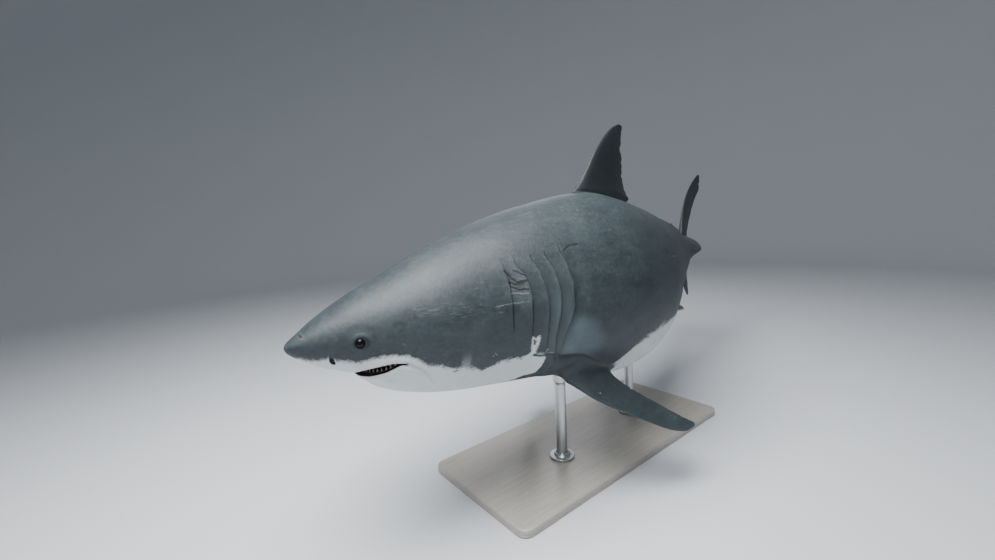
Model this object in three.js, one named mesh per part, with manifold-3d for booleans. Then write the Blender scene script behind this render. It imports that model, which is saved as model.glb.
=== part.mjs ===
// A life-size display model of a large female white shark, held on two rods over a flat base.
// Millimetres, +Z up. The head points to -X, the left side to -Y, and the base stands on Z = 0.
// The body is worked out along its spine: a station is a distance behind the snout tip, in
// hundredths of the total length, and every other body size is in the same hundredths.

import * as THREE from "three";
import { mergeVertices } from "three/addons/utils/BufferGeometryUtils.js";
import Module from "manifold-3d";

const wasm = await Module();
wasm.setup();

// ---------------------------------------------------------------- driving dimensions

const TOTAL_LENGTH = 4600; // snout tip to the tip of the upper tail lobe, along the spine
const UNIT = TOTAL_LENGTH / 100; // one hundredth of the length
const SPINE_HEIGHT = 1080; // the body's axis over the floor
const BALANCE_STATION = 38.7; // the station over the middle of the base
const GAP = 0.3; // left between two pieces that touch
const HALF_GAP = GAP / 2 / UNIT; // half of it, in hundredths
const LIFT = (1.3 * GAP) / UNIT; // how far the skin is lifted to trim what meets it

// Outline of the body: station, back, belly, half-width. Heights are from the axis.
const BODY = [
  [0, -0.7, -0.7, 0],
  [1, 0.25, -1.85, 1.35],
  [3, 1.6, -3.1, 2.6],
  [5.5, 2.95, -4.15, 3.9],
  [7.2, 3.75, -5.75, 4.6],
  [9, 4.45, -6.75, 5.25],
  [14, 6.7, -8.15, 6.8],
  [20, 8.9, -8.85, 8.0],
  [27, 10.65, -9.5, 9.15],
  [36, 11.9, -12.0, 9.85],
  [41, 11.1, -12.5, 9.4],
  [46, 10.0, -12.2, 8.7],
  [56, 8.3, -9.25, 6.85],
  [66, 6.8, -6.25, 5.15],
  [74, 4.2, -3.75, 3.4],
  [80, 3.2, -2.2, 2.3],
  [84.5, 3.0, -1.4, 1.6],
  [88, 2.6, -1.0, 1.15],
  [90.5, 1.4, -0.65, 0.65],
];
// Height of the widest line of each section.
const WAIST = [
  [0, -0.7],
  [3, -0.5],
  [14, -0.4],
  [36, -0.2],
  [56, 0],
  [90.5, 0],
];
const SIDE_ROUNDNESS = 0.96; // below 1 the flanks are fuller than an ellipse
const BELLY_ROUNDNESS = 0.94;
const BODY_END = 90.5; // the spine's last station inside the tail fin

// Side keels of the tail stem: station, and how far the keel's edge stands out.
const KEEL = [
  [64, 0],
  [70, 0.3],
  [76, 1.0],
  [80, 1.9],
  [84, 2.5],
  [87, 2.2],
  [89.5, 1.2],
  [90.5, 0.6],
];
const KEEL_SHARPNESS = { above: 1.9, below: 12 };

// Heading of the spine, in degrees towards the right side.
const HEADING = [
  [0, -4],
  [24, -4],
  [36, 0],
  [50, 16.5],
  [62, 16],
  [74, 16],
  [80, 18.5],
  [85, 25],
  [92, 13],
  [100, 3],
];

// Where the body is divided into lengths.
const HEAD_END = 13.8;
const GILLS_END = 28;
const CHEST_END = 36.2;
const MIDDLE_END = 48;
const LOIN_END = 61;
const TAIL_ROOT_END = 74;

// Gill slits: the station of each at its middle, and how far its top stands behind its foot.
const GILL_SLITS = [
  [19.1, 0.5],
  [21.0, 0.4],
  [22.6, 0.3],
  [23.9, 0.5],
  [25.2, 1.2],
];
const GILL_TOP = 63; // degrees round from the back
const GILL_FOOT = 117;
// Columns of points at a slit: how far behind it, how far that moves where the slit is deepest,
// and the height off the skin there. The second is the flap's edge, the third the slit's floor.
const GILL_COLUMNS = [
  [-0.42, 0, 0],
  [-0.12, 0.02, 0.16],
  [0, -0.26, -0.45],
  [0.14, 0, -0.06],
];

// The mouth's upper lip: station and height. It passes below the snout in front of the mouth.
const UPPER_LIP = [
  [4.5, -5.0],
  [5.0, -4.0],
  [5.6, -3.42],
  [6.2, -3.16],
  [7.0, -2.94],
  [7.8, -2.83],
  [8.8, -2.94],
  [10.1, -3.6],
  [11.2, -4.6],
  [11.6, -5.4],
];
const JAW_HINGE_FOOT = [13.2, -12]; // the jaw's rear edge runs from the last lip point to here
const MOUTH_GAP = [
  [4.5, 1.0],
  [6.0, 0.95],
  [7.3, 0.8],
  [7.9, 0.56],
  [8.5, 0.2],
  [9.2, GAP / UNIT],
];
// Each tooth arch is half an ellipse: station of its centre, its reach forwards and sideways,
// the count of teeth, their width, length and thickness, and the angle of the last ones.
const UPPER_TEETH = { centre: 9.6, reach: 3.9, spread: 4.5, count: 22, size: [0.38, 0.4, 0.16] };
const LOWER_TEETH = { centre: 9.6, reach: 3.3, spread: 4.1, count: 20, size: [0.28, 0.34, 0.14] };
const LAST_TOOTH = 68;

const EYE = { station: 5.5, up: -0.54, depth: 0.26, radius: 0.44 };
const NOSTRIL = { station: 3.3, up: -2.0, length: 0.5, width: 0.2, depth: 0.3 };

// Fins, each row from the root to the tip: front edge, rear edge, half the thickness.
// The fins on the back, belly and tail are laid out in station and height.
const FIN_EDGE = 0.055; // half the thickness at the edges
const FIRST_DORSAL = [
  [35.4, 8.8, 46.6, 8.2, 0.95],
  [34.2, 11.5, 46.9, 9.8, 0.9],
  [35.3, 12.4, 48.5, 10.3, 0.84],
  [36.2, 13.2, 49.8, 10.9, 0.78],
  [37.6, 14.9, 47.9, 12.3, 0.66],
  [39.5, 17.3, 47.1, 14.4, 0.52],
  [41.9, 19.4, 46.95, 17.0, 0.38],
  [44.0, 20.6, 46.8, 19.2, 0.24],
  [45.9, 21.2, 47.3, 21.05, 0.12],
];
const FIRST_DORSAL_NICKS = [
  [0.53, 0.25],
  [0.68, 0.22],
  [0.81, 0.4],
];
const SECOND_DORSAL = [
  [72.6, 2.7, 74.2, 2.7, 0.2],
  [72.5, 4.3, 74.3, 4.1, 0.18],
  [73.1, 5.1, 76.2, 4.45, 0.15],
  [74.2, 5.75, 75.4, 5.4, 0.1],
  [75.0, 6.0, 75.5, 5.9, 0.07],
];
const ANAL = [
  [74.2, -2.2, 76.0, -2.1, 0.2],
  [74.1, -3.5, 76.1, -3.2, 0.18],
  [74.8, -4.7, 78.0, -3.8, 0.15],
  [76.0, -5.6, 77.3, -5.1, 0.1],
  [76.9, -5.9, 77.4, -5.7, 0.07],
];
const UPPER_TAIL = [
  [85.6, 0.2, 92.6, 0.2, 1.2],
  [85.9, 1.9, 92.2, 1.6, 1.05],
  [86.8, 4.7, 93.3, 4.2, 0.66],
  [88.9, 8.2, 95.3, 7.5, 0.45],
  [91.9, 11.5, 97.7, 10.7, 0.32],
  [95.2, 14.0, 99.8, 13.0, 0.22],
  [97.6, 15.5, 100.2, 14.7, 0.15],
  [99.2, 16.3, 100.0, 16.1, 0.08],
];
const UPPER_TAIL_NICKS = [[0.8, 0.5]];
const LOWER_TAIL = [
  [86.0, 0.2, 92.6, 0.2, 1.2],
  [86.7, -1.9, 92.3, -1.6, 0.85],
  [87.8, -4.6, 92.4, -4.1, 0.52],
  [89.4, -7.4, 93.0, -6.9, 0.36],
  [91.5, -10.0, 93.8, -9.5, 0.22],
  [93.6, -11.9, 94.3, -11.7, 0.09],
];
// The paired fins are laid out along and out from a root on the left side.
const PECTORAL = {
  root: [26, 6.0, -7.9],
  pitch: 9.4,
  droop: 40,
  rows: [
    [0.6, -2.6, 7.4, -3.0, 2.0],
    [0.25, 0.0, 8.1, -0.2, 1.6],
    [1.2, 1.8, 7.75, 1.5, 1.0],
    [2.7, 3.9, 8.6, 3.1, 0.6],
    [5.0, 5.8, 9.8, 4.6, 0.4],
    [7.6, 7.75, 11.1, 6.1, 0.3],
    [9.9, 9.3, 12.3, 7.6, 0.21],
    [12.1, 10.0, 13.3, 8.8, 0.14],
    [13.5, 9.9, 13.9, 9.5, 0.08],
  ],
};
const PELVIC = {
  root: [55.5, 4.5, -6.9],
  pitch: 3,
  droop: 22,
  rows: [
    [0.2, -2.6, 3.9, -2.6, 0.34],
    [0.0, -0.6, 4.2, -0.8, 0.3],
    [0.8, 0.6, 6.0, 0.0, 0.22],
    [2.2, 1.3, 5.6, 0.8, 0.14],
    [3.8, 1.6, 5.0, 1.35, 0.08],
  ],
};

// The stand.
const BASE_SIZE = [1900, 820, 45];
const BASE_CORNER = 60;
const BODY_OFFSET = -72; // how far the balance station stands to the right of the base's middle
const ROD_RADIUS = 32;
const ROD_STATIONS = { front: 31.5, rear: 49 };

const AROUND = 48; // points in each section of the body

// ---------------------------------------------------------------- curves

// A smooth curve through [x, y] pairs that never swings past them: cubic between neighbours,
// with the slope at each pair the harmonic mean of its two sides.
function smoothCurve(pairs, column = 1) {
  const xs = pairs.map((p) => p[0]);
  const ys = pairs.map((p) => p[column]);
  const rise = xs.slice(1).map((x, i) => (ys[i + 1] - ys[i]) / (x - xs[i]));
  const slopes = xs.map((_, i) => {
    if (i === 0) return rise[0];
    if (i === xs.length - 1) return rise[i - 1];
    const [a, b] = [rise[i - 1], rise[i]];
    return a * b <= 0 ? 0 : (2 * a * b) / (a + b);
  });
  return (x) => {
    const last = xs.length - 1;
    if (x <= xs[0]) return ys[0];
    if (x >= xs[last]) return ys[last];
    let i = 0;
    while (x > xs[i + 1]) i += 1;
    const width = xs[i + 1] - xs[i];
    const t = (x - xs[i]) / width;
    const [t2, t3] = [t * t, t * t * t];
    return (
      ys[i] * (2 * t3 - 3 * t2 + 1) +
      slopes[i] * width * (t3 - 2 * t2 + t) +
      ys[i + 1] * (3 * t2 - 2 * t3) +
      slopes[i + 1] * width * (t3 - t2)
    );
  };
}

const clamp = (x, low, high) => Math.min(high, Math.max(low, x));
const smoothstep = (x, from, to) => {
  const t = clamp((x - from) / (to - from), 0, 1);
  return t * t * (3 - 2 * t);
};
const mix = (a, b, t) => a + (b - a) * t;
const steps = (count, from = 0, to = 1) =>
  Array.from({ length: count + 1 }, (_, i) => mix(from, to, i / count));

// The outline curves run on the square root of the station, which rounds the snout.
const onRoot = (table, column) =>
  smoothCurve(table.map((row) => [Math.sqrt(row[0]), row[column]]));
const [backAt, bellyAt, widthAt] = [1, 2, 3].map((column) => {
  const curve = onRoot(BODY, column);
  return (station) => curve(Math.sqrt(station));
});
const waistAt = smoothCurve(WAIST);
const keelAt = smoothCurve(KEEL);
const headingAt = smoothCurve(HEADING);

// ---------------------------------------------------------------- the bent spine

const SPINE_STEPS = 400;
const spine = [[0, 0]];
for (let i = 0; i < SPINE_STEPS; i += 1) {
  const middle = ((i + 0.5) * 100) / SPINE_STEPS;
  const heading = THREE.MathUtils.degToRad(headingAt(middle));
  const [x, y] = spine[i];
  const step = 100 / SPINE_STEPS;
  spine.push([x + step * Math.cos(heading), y + step * Math.sin(heading)]);
}

function spineAt(station) {
  const place = (clamp(station, 0, 100) * SPINE_STEPS) / 100;
  const i = Math.min(Math.floor(place), SPINE_STEPS - 1);
  return [0, 1].map((k) => mix(spine[i][k], spine[i + 1][k], place - i));
}
const [balanceX, balanceY] = spineAt(BALANCE_STATION);

// A point given by station, distance to the left of the spine and height over it, all in
// hundredths of the length, as a point of the model in millimetres.
function bodyPoint(station, left, up) {
  const [x, y] = spineAt(station);
  const heading = THREE.MathUtils.degToRad(headingAt(station));
  return new THREE.Vector3(
    (x - balanceX + left * Math.sin(heading)) * UNIT,
    (y - balanceY - left * Math.cos(heading)) * UNIT + BODY_OFFSET,
    up * UNIT + SPINE_HEIGHT,
  );
}

// ---------------------------------------------------------------- the body's surface

// [left, up] of the skin at a station. The angle starts at the back and runs over the left side
// (a quarter turn), the belly and the right side. Raise lifts the point off the skin.
function section(station, angle, raise = 0) {
  const [sin, cos] = [Math.sin(angle), Math.cos(angle)];
  const waist = waistAt(station);
  const side = Math.abs(sin) ** SIDE_ROUNDNESS;
  const sharpness = cos > 0 ? KEEL_SHARPNESS.above : KEEL_SHARPNESS.below;
  const keel = keelAt(station) * Math.abs(sin) ** sharpness;
  const up =
    cos > 0
      ? (backAt(station) - waist + raise) * cos
      : -(waist - bellyAt(station) + raise) * (-cos) ** BELLY_ROUNDNESS;
  return [Math.sign(sin) * ((widthAt(station) + raise) * side + keel), waist + up];
}

const skinPoint = (station, angle, raise = 0) =>
  bodyPoint(station, ...section(station, angle, raise));

// ---------------------------------------------------------------- solids from rings

// A closed mesh through rings of points, with its two ends closed by fans.
// A ring of one point is a pole. Faces are turned outwards at the end.
function loft(rings) {
  const positions = [];
  const starts = rings.map((ring) => {
    const start = positions.length / 3;
    ring.forEach((p) => positions.push(p.x, p.y, p.z));
    return start;
  });
  const faces = [];
  for (let k = 0; k + 1 < rings.length; k += 1) {
    const [a, b] = [rings[k], rings[k + 1]];
    const count = Math.max(a.length, b.length);
    for (let i = 0; i < count; i += 1) {
      const j = (i + 1) % count;
      const [a0, a1] = a.length === 1 ? [0, 0] : [i, j];
      const [b0, b1] = b.length === 1 ? [0, 0] : [i, j];
      if (a0 !== a1) faces.push([starts[k] + a0, starts[k] + a1, starts[k + 1] + b0]);
      if (b0 !== b1) faces.push([starts[k] + a1, starts[k + 1] + b1, starts[k + 1] + b0]);
    }
  }
  const cap = (k, flip) => {
    const ring = rings[k];
    if (ring.length === 1) return;
    const middle = new THREE.Vector3();
    ring.forEach((p) => middle.addScaledVector(p, 1 / ring.length));
    const centre = positions.length / 3;
    positions.push(middle.x, middle.y, middle.z);
    ring.forEach((_, i) => {
      const j = (i + 1) % ring.length;
      const face = [starts[k] + j, starts[k] + i, centre];
      faces.push(flip ? face.reverse() : face);
    });
  };
  cap(0, false);
  cap(rings.length - 1, true);
  return solidOf(positions, faces.flat());
}

// A manifold solid from positions and triangle corners, turned inside out if need be.
function solidOf(positions, corners) {
  const geometry = new THREE.BufferGeometry();
  geometry.setAttribute("position", new THREE.Float32BufferAttribute(positions, 3));
  geometry.setIndex(corners);
  const merged = mergeVertices(geometry, 1e-3);
  const triVerts = new Uint32Array(merged.index.array);
  if (signedVolume(merged.attributes.position.array, triVerts) < 0) {
    for (let i = 0; i < triVerts.length; i += 3)
      [triVerts[i + 1], triVerts[i + 2]] = [triVerts[i + 2], triVerts[i + 1]];
  }
  const vertProperties = merged.attributes.position.array;
  return new wasm.Manifold(new wasm.Mesh({ numProp: 3, vertProperties, triVerts }));
}

function signedVolume(points, corners) {
  const [a, b, c] = [new THREE.Vector3(), new THREE.Vector3(), new THREE.Vector3()];
  let six = 0;
  for (let i = 0; i < corners.length; i += 3) {
    a.fromArray(points, corners[i] * 3);
    b.fromArray(points, corners[i + 1] * 3);
    c.fromArray(points, corners[i + 2] * 3);
    six += a.dot(b.cross(c));
  }
  return six;
}

// A three.js geometry, such as a cylinder, as a manifold solid.
function solidFrom(geometry) {
  const plain = geometry.index ? geometry.toNonIndexed() : geometry;
  const positions = [...plain.attributes.position.array];
  return solidOf(positions, [...positions.keys()].slice(0, positions.length / 3));
}

// The largest closed piece of a solid, which drops any scrap that a cut leaves.
const largest = (solid) =>
  solid.decompose().reduce((best, s) => (s.volume() > best.volume() ? s : best));

const shark = new THREE.Group();
shark.name = "white_shark";

function addNode(name, solid, material) {
  const { vertProperties, triVerts } = largest(solid).getMesh();
  const geometry = new THREE.BufferGeometry();
  geometry.setAttribute("position", new THREE.Float32BufferAttribute(vertProperties, 3));
  geometry.setIndex([...triVerts]);
  geometry.computeVertexNormals();
  const mesh = new THREE.Mesh(geometry, material);
  mesh.name = name;
  shark.add(mesh);
}

// ---------------------------------------------------------------- materials

const paint = (color, roughness, metalness = 0) =>
  new THREE.MeshStandardMaterial({ color, roughness, metalness });
const skinPaint = paint(0x4b5457, 0.5);
const jawPaint = paint(0xc8cdcc, 0.5);
const eyeGloss = paint(0x07080a, 0.08);
const rodSteel = paint(0x8f9396, 0.35, 0.9);
const baseLacquer = paint(0xb9b3a8, 0.45);

// ---------------------------------------------------------------- lengths of the body

const ANGLES = Array.from({ length: AROUND }, (_, i) => (i * 2 * Math.PI) / AROUND);
const ring = (station, raise) => ANGLES.map((angle) => skinPoint(station, angle, raise));
const rings = (raise, stations) => stations.map((station) => ring(station, raise));

// The snout's rings stand closer together, because the station is the square of an even step.
const HEAD_STATIONS = steps(14, 0.3, Math.sqrt(HEAD_END - HALF_GAP)).map((root) => root * root);
const headRings = (raise) => [[bodyPoint(-raise, 0, BODY[0][1])], ...rings(raise, HEAD_STATIONS)];

// How open a gill slit is at an angle round the body, from 0 to 1, and how far it slants back.
const GILL_ENDS = [GILL_TOP, GILL_FOOT].map(THREE.MathUtils.degToRad);
const GILL_FADE = THREE.MathUtils.degToRad(15);
const fromBack = (angle) => Math.min(angle, 2 * Math.PI - angle);
const slitDepth = (angle) =>
  smoothstep(fromBack(angle), GILL_ENDS[0] - GILL_FADE, GILL_ENDS[0] + GILL_FADE) *
  (1 - smoothstep(fromBack(angle), GILL_ENDS[1] - GILL_FADE, GILL_ENDS[1] + GILL_FADE));
const slitHeight = (angle) =>
  clamp((GILL_ENDS[1] - fromBack(angle)) / (GILL_ENDS[1] - GILL_ENDS[0]), -0.3, 1.3) - 0.5;

// Depth scales the slits, so that a depth of 0 gives the plain skin on the same rings.
function gillRings(depth, raise) {
  const from = HEAD_END + HALF_GAP;
  const to = GILLS_END - HALF_GAP;
  const slits = GILL_SLITS.flatMap(([slit, slant]) =>
    GILL_COLUMNS.map(([behind, shift, height]) =>
      ANGLES.map((angle) => {
        const open = depth * slitDepth(angle);
        const station = slit + slant * slitHeight(angle) + behind + shift * open;
        return skinPoint(station, angle, raise + height * open);
      }),
    ),
  );
  return [...rings(raise, [from, from + 1.8, from + 3.6]), ...slits, ...rings(raise, [27, to])];
}

const lengthRings = (from, to, count, raise) =>
  rings(raise, steps(count, from + HALF_GAP, to - HALF_GAP));
const LENGTHS = {
  chest: [GILLS_END, CHEST_END, 5],
  middle: [CHEST_END, MIDDLE_END, 8],
  loin: [MIDDLE_END, LOIN_END, 7],
  tail_root: [LOIN_END, TAIL_ROOT_END, 6],
  tail_stem: [TAIL_ROOT_END, BODY_END, 9],
};
const liftedBody = loft([
  ...headRings(LIFT),
  ...gillRings(0, LIFT),
  ...Object.values(LENGTHS).flatMap((length) => lengthRings(...length, LIFT)),
  ring(BODY_END + LIFT, LIFT),
]);
const outside = (solid) => solid.subtract(liftedBody);

Object.entries(LENGTHS).forEach(([name, length]) => {
  addNode(name, loft(lengthRings(...length, 0)), skinPaint);
});
addNode("gills", loft(gillRings(1, 0)), skinPaint);

// ---------------------------------------------------------------- head, jaw, teeth and eyes

const SIDES = { left: 1, right: -1 };

// The half-width of the body at a height.
function halfWidthAt(station, up) {
  const waist = waistAt(station);
  const reach = up > waist ? backAt(station) - waist : waist - bellyAt(station);
  const rise = Math.min(Math.abs(up - waist) / reach, 1);
  const cos = up > waist ? rise : rise ** (1 / BELLY_ROUNDNESS);
  return widthAt(station) * Math.sqrt(1 - cos * cos) ** SIDE_ROUNDNESS;
}

const upperLipAt = smoothCurve(UPPER_LIP);
const mouthGapAt = smoothCurve(MOUTH_GAP);
const lowerLipAt = (station) => upperLipAt(station) - mouthGapAt(station);

// Everything right across the head under a line of lip, in front of the jaw's rear edge.
function underLip(lipAt, backOff) {
  const [from, to] = [UPPER_LIP[0][0], UPPER_LIP.at(-1)[0] - backOff];
  const lip = steps(22, from, to).map((station) => [station, lipAt(station)]);
  const [footStation, footUp] = JAW_HINGE_FOOT;
  const outline = [...lip, [footStation - backOff, footUp], [from, footUp]];
  const shape = new THREE.Shape(outline.map(([station, up]) => new THREE.Vector2(station, up)));
  const geometry = new THREE.ExtrudeGeometry(shape, { depth: 20, bevelEnabled: false, steps: 1 });
  const corners = geometry.attributes.position;
  const positions = [];
  for (let i = 0; i < corners.count; i += 1) {
    const [station, up, across] = [corners.getX(i), corners.getY(i), corners.getZ(i)];
    positions.push(...bodyPoint(station, across - 10, up).toArray());
  }
  return solidOf(positions, [...positions.keys()].slice(0, positions.length / 3));
}

// A tooth is a flat pyramid. Its root is sunk past the lip's line, and rise is -1 for a tooth
// that hangs and 1 for one that stands.
function toothRow({ centre, reach, spread, count, size }, lipAt, rise) {
  const [width, length, thickness] = size;
  const last = THREE.MathUtils.degToRad(LAST_TOOTH);
  return steps(count - 1, -last, last).map((angle) => {
    const [station, left] = [centre - reach * Math.cos(angle), spread * Math.sin(angle)];
    const along = new THREE.Vector2(reach * Math.sin(angle), spread * Math.cos(angle)).normalize();
    const lip = lipAt(station);
    const height = Math.min(length, 0.7 * mouthGapAt(station));
    const corner = (a, b, up) =>
      bodyPoint(
        station + (a * width * along.x + b * thickness * along.y) / 2,
        left + (a * width * along.y - b * thickness * along.x) / 2,
        up,
      );
    const root = [[-1, -1], [1, -1], [1, 1], [-1, 1]].map(([a, b]) => corner(a, b, lip - rise * 0.2));
    return loft([root, [corner(0, 0, lip + rise * height)]]);
  });
}

const join = (solids) => wasm.Manifold.union(solids);
const sphere = (radius, [x, y, z], wide = 16, high = 10) =>
  solidFrom(new THREE.SphereGeometry(radius, wide, high).translate(x, y, z));

const wholeHead = loft(headRings(0));
const sockets = [];
Object.entries(SIDES).forEach(([side, sign]) => {
  const { station, up, depth, radius } = EYE;
  const left = sign * (halfWidthAt(station, up) - depth);
  const centre = bodyPoint(station, left, up).toArray();
  sockets.push(sphere(radius * UNIT + GAP, centre));
  addNode(`eye_${side}`, sphere(radius * UNIT, centre), eyeGloss);

  const nostril = new THREE.SphereGeometry(1, 10, 6);
  nostril.scale(NOSTRIL.length * UNIT, NOSTRIL.width * UNIT, NOSTRIL.depth * UNIT);
  const edge = sign * halfWidthAt(NOSTRIL.station, NOSTRIL.up);
  const at = bodyPoint(NOSTRIL.station, edge, NOSTRIL.up);
  sockets.push(solidFrom(nostril.rotateY(1.0).rotateZ(sign * 0.75).translate(at.x, at.y, at.z)));
});

const skull = wholeHead.subtract(underLip(upperLipAt, 0)).subtract(join(sockets));
addNode("head", join([skull, ...toothRow(UPPER_TEETH, upperLipAt, -1)]), skinPaint);
const jaw = wholeHead.intersect(underLip(lowerLipAt, 2 * HALF_GAP));
addNode("lower_jaw", join([jaw, ...toothRow(LOWER_TEETH, lowerLipAt, 1)]), jawPaint);

// ---------------------------------------------------------------- fins

const CHORD = [0, 0.03, 0.1, 0.22, 0.4, 0.62, 0.82, 1]; // points from the front to the rear edge

// A fin from its rows. Place turns (along, out, off the plane) into a point, and a nick is
// [where from root to tip, depth] in the rear edge.
function fin(rows, place, spans, nicks = []) {
  const last = rows.length - 1;
  const columns = rows[0].map((_, k) => smoothCurve(rows.map((row, i) => [i / last, row[k]])));
  const layers = steps(spans).map((t) => {
    const [frontAlong, frontOut, rearAlong, rearOut, half] = columns.map((column) => column(t));
    const bite = nicks.reduce(
      (sum, [where, depth]) => sum + depth * Math.exp(-(((t - where) / 0.03) ** 2)),
      0,
    );
    return CHORD.map((s) => {
      const off = FIN_EDGE + (half - FIN_EDGE) * 2.6 * Math.sqrt(s) * (1 - s);
      const along = mix(frontAlong, rearAlong - bite, s);
      return [1, -1].map((side) => place(along, mix(frontOut, rearOut, s), side * off));
    });
  });
  const positions = layers.flat(2).flatMap((p) => p.toArray());
  const wide = CHORD.length - 1;
  const at = (i, k, side) => (i * CHORD.length + k) * 2 + side;
  const corners = [];
  const quad = (a, b, c, d) => corners.push(a, b, c, a, c, d);
  for (let i = 0; i < spans; i += 1) {
    for (let k = 0; k < wide; k += 1) {
      quad(at(i, k, 0), at(i + 1, k, 0), at(i + 1, k + 1, 0), at(i, k + 1, 0));
      corners.push(at(i, k, 1), at(i + 1, k + 1, 1), at(i + 1, k, 1));
      corners.push(at(i, k, 1), at(i, k + 1, 1), at(i + 1, k + 1, 1));
    }
    quad(at(i, 0, 0), at(i, 0, 1), at(i + 1, 0, 1), at(i + 1, 0, 0));
    quad(at(i, wide, 0), at(i + 1, wide, 0), at(i + 1, wide, 1), at(i, wide, 1));
  }
  for (let k = 0; k < wide; k += 1) {
    quad(at(0, k, 0), at(0, k + 1, 0), at(0, k + 1, 1), at(0, k, 1));
    quad(at(spans, k, 0), at(spans, k, 1), at(spans, k + 1, 1), at(spans, k + 1, 0));
  }
  return solidOf(positions, corners);
}

const median = (along, out, off) => bodyPoint(along, off, out);
addNode(
  "dorsal_fin_first",
  outside(fin(FIRST_DORSAL, median, 20, FIRST_DORSAL_NICKS)),
  skinPaint,
);
addNode("dorsal_fin_second", outside(fin(SECOND_DORSAL, median, 8)), skinPaint);
addNode("anal_fin", outside(fin(ANAL, median, 8)), skinPaint);
addNode("tail_fin_upper", outside(fin(UPPER_TAIL, median, 18, UPPER_TAIL_NICKS)), skinPaint);

// The lower lobe ends a gap below the upper one.
const lowered = LOWER_TAIL.map((row, i) =>
  i === 0 ? [row[0], row[1] - 2 * HALF_GAP, row[2], row[3] - 2 * HALF_GAP, row[4]] : row,
);
addNode("tail_fin_lower", outside(fin(lowered, median, 12)), skinPaint);

// A paired fin's plane leaves the body at its root: pitch lowers its rear edge and droop its tip.
function paired({ root, pitch, droop }, sign) {
  const [p, d] = [pitch, droop].map(THREE.MathUtils.degToRad);
  const chord = new THREE.Vector3(Math.cos(p), 0, -Math.sin(p));
  const span = new THREE.Vector3(0, Math.cos(d), -Math.sin(d));
  const normal = new THREE.Vector3().crossVectors(chord, span).normalize();
  return (along, out, off) => {
    const point = new THREE.Vector3(...root);
    point.addScaledVector(chord, along).addScaledVector(span, out).addScaledVector(normal, off);
    return bodyPoint(point.x, sign * point.y, point.z);
  };
}
Object.entries(SIDES).forEach(([side, sign]) => {
  const pectoral = fin(PECTORAL.rows, paired(PECTORAL, sign), 16);
  const pelvic = fin(PELVIC.rows, paired(PELVIC, sign), 8);
  addNode(`pectoral_fin_${side}`, outside(pectoral), skinPaint);
  addNode(`pelvic_fin_${side}`, outside(pelvic), skinPaint);
});

// ---------------------------------------------------------------- the stand

const [baseLength, baseWidth, baseHeight] = BASE_SIZE;
const plate = new THREE.Shape();
const [halfLength, halfWidth] = [baseLength / 2, baseWidth / 2];
[[1, 1, 0], [-1, 1, 90], [-1, -1, 180], [1, -1, 270]].forEach(([sx, sy, turn]) => {
  const start = THREE.MathUtils.degToRad(turn);
  const [cx, cy] = [sx * (halfLength - BASE_CORNER), sy * (halfWidth - BASE_CORNER)];
  plate.absarc(cx, cy, BASE_CORNER, start, start + Math.PI / 2);
});
const slab = { depth: baseHeight, bevelEnabled: false, curveSegments: 6 };
addNode("stand_base", solidFrom(new THREE.ExtrudeGeometry(plate, slab)), baseLacquer);

Object.entries(ROD_STATIONS).forEach(([name, station]) => {
  const top = SPINE_HEIGHT + (bellyAt(station) + 3) * UNIT;
  const foot = baseHeight + GAP;
  const rod = new THREE.CylinderGeometry(ROD_RADIUS, ROD_RADIUS, top - foot, 24);
  const { x, y } = bodyPoint(station, 0, 0);
  rod.rotateX(Math.PI / 2).translate(x, y, (top + foot) / 2);
  addNode(`stand_rod_${name}`, outside(solidFrom(rod)), rodSteel);
});

export default shark;
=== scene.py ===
"""A life-size display model of a large female white shark on a stand: skin, eyes, teeth and base.

Lengths on the body are hundredths of the total length. A station is a distance behind the snout
tip along the bent spine, left is a distance to the left of the spine and up is a height over it.
"""

import math

import bmesh
import bpy
import numpy as np
from bpy.props import FloatProperty, FloatVectorProperty, IntProperty, PointerProperty
from mathutils import Matrix, Vector


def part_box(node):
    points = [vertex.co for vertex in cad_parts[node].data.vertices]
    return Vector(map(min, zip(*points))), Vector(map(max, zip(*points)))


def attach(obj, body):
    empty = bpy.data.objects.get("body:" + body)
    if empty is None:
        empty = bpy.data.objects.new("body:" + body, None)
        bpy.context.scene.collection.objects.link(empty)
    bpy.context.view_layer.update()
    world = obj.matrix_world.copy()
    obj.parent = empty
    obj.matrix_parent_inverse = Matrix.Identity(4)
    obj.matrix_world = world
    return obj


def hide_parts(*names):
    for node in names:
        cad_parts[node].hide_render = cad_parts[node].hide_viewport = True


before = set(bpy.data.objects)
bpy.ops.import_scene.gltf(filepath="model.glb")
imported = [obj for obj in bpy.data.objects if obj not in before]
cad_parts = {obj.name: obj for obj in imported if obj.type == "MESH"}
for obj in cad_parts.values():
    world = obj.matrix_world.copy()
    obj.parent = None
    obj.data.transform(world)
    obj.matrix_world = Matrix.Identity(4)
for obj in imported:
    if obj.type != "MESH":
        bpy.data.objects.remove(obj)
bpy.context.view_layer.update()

bl_info = {
    "name": "White Shark Display Model",
    "version": (1, 0, 0),
    "blender": (4, 5, 0),
    "location": "3D View > Sidebar > Shark",
    "description": "Builds the skin, eyes, teeth, stand and studio of a life-size shark model",
    "category": "Object",
}

# ---------------------------------------------------------------- sizes of the animal

UNIT = 0.046  # metres in one hundredth of the total length
SPINE_HEIGHT = 1.08
BALANCE_STATION = 38.7
BODY_OFFSET = -0.072
BODY_END = 90.5

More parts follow.
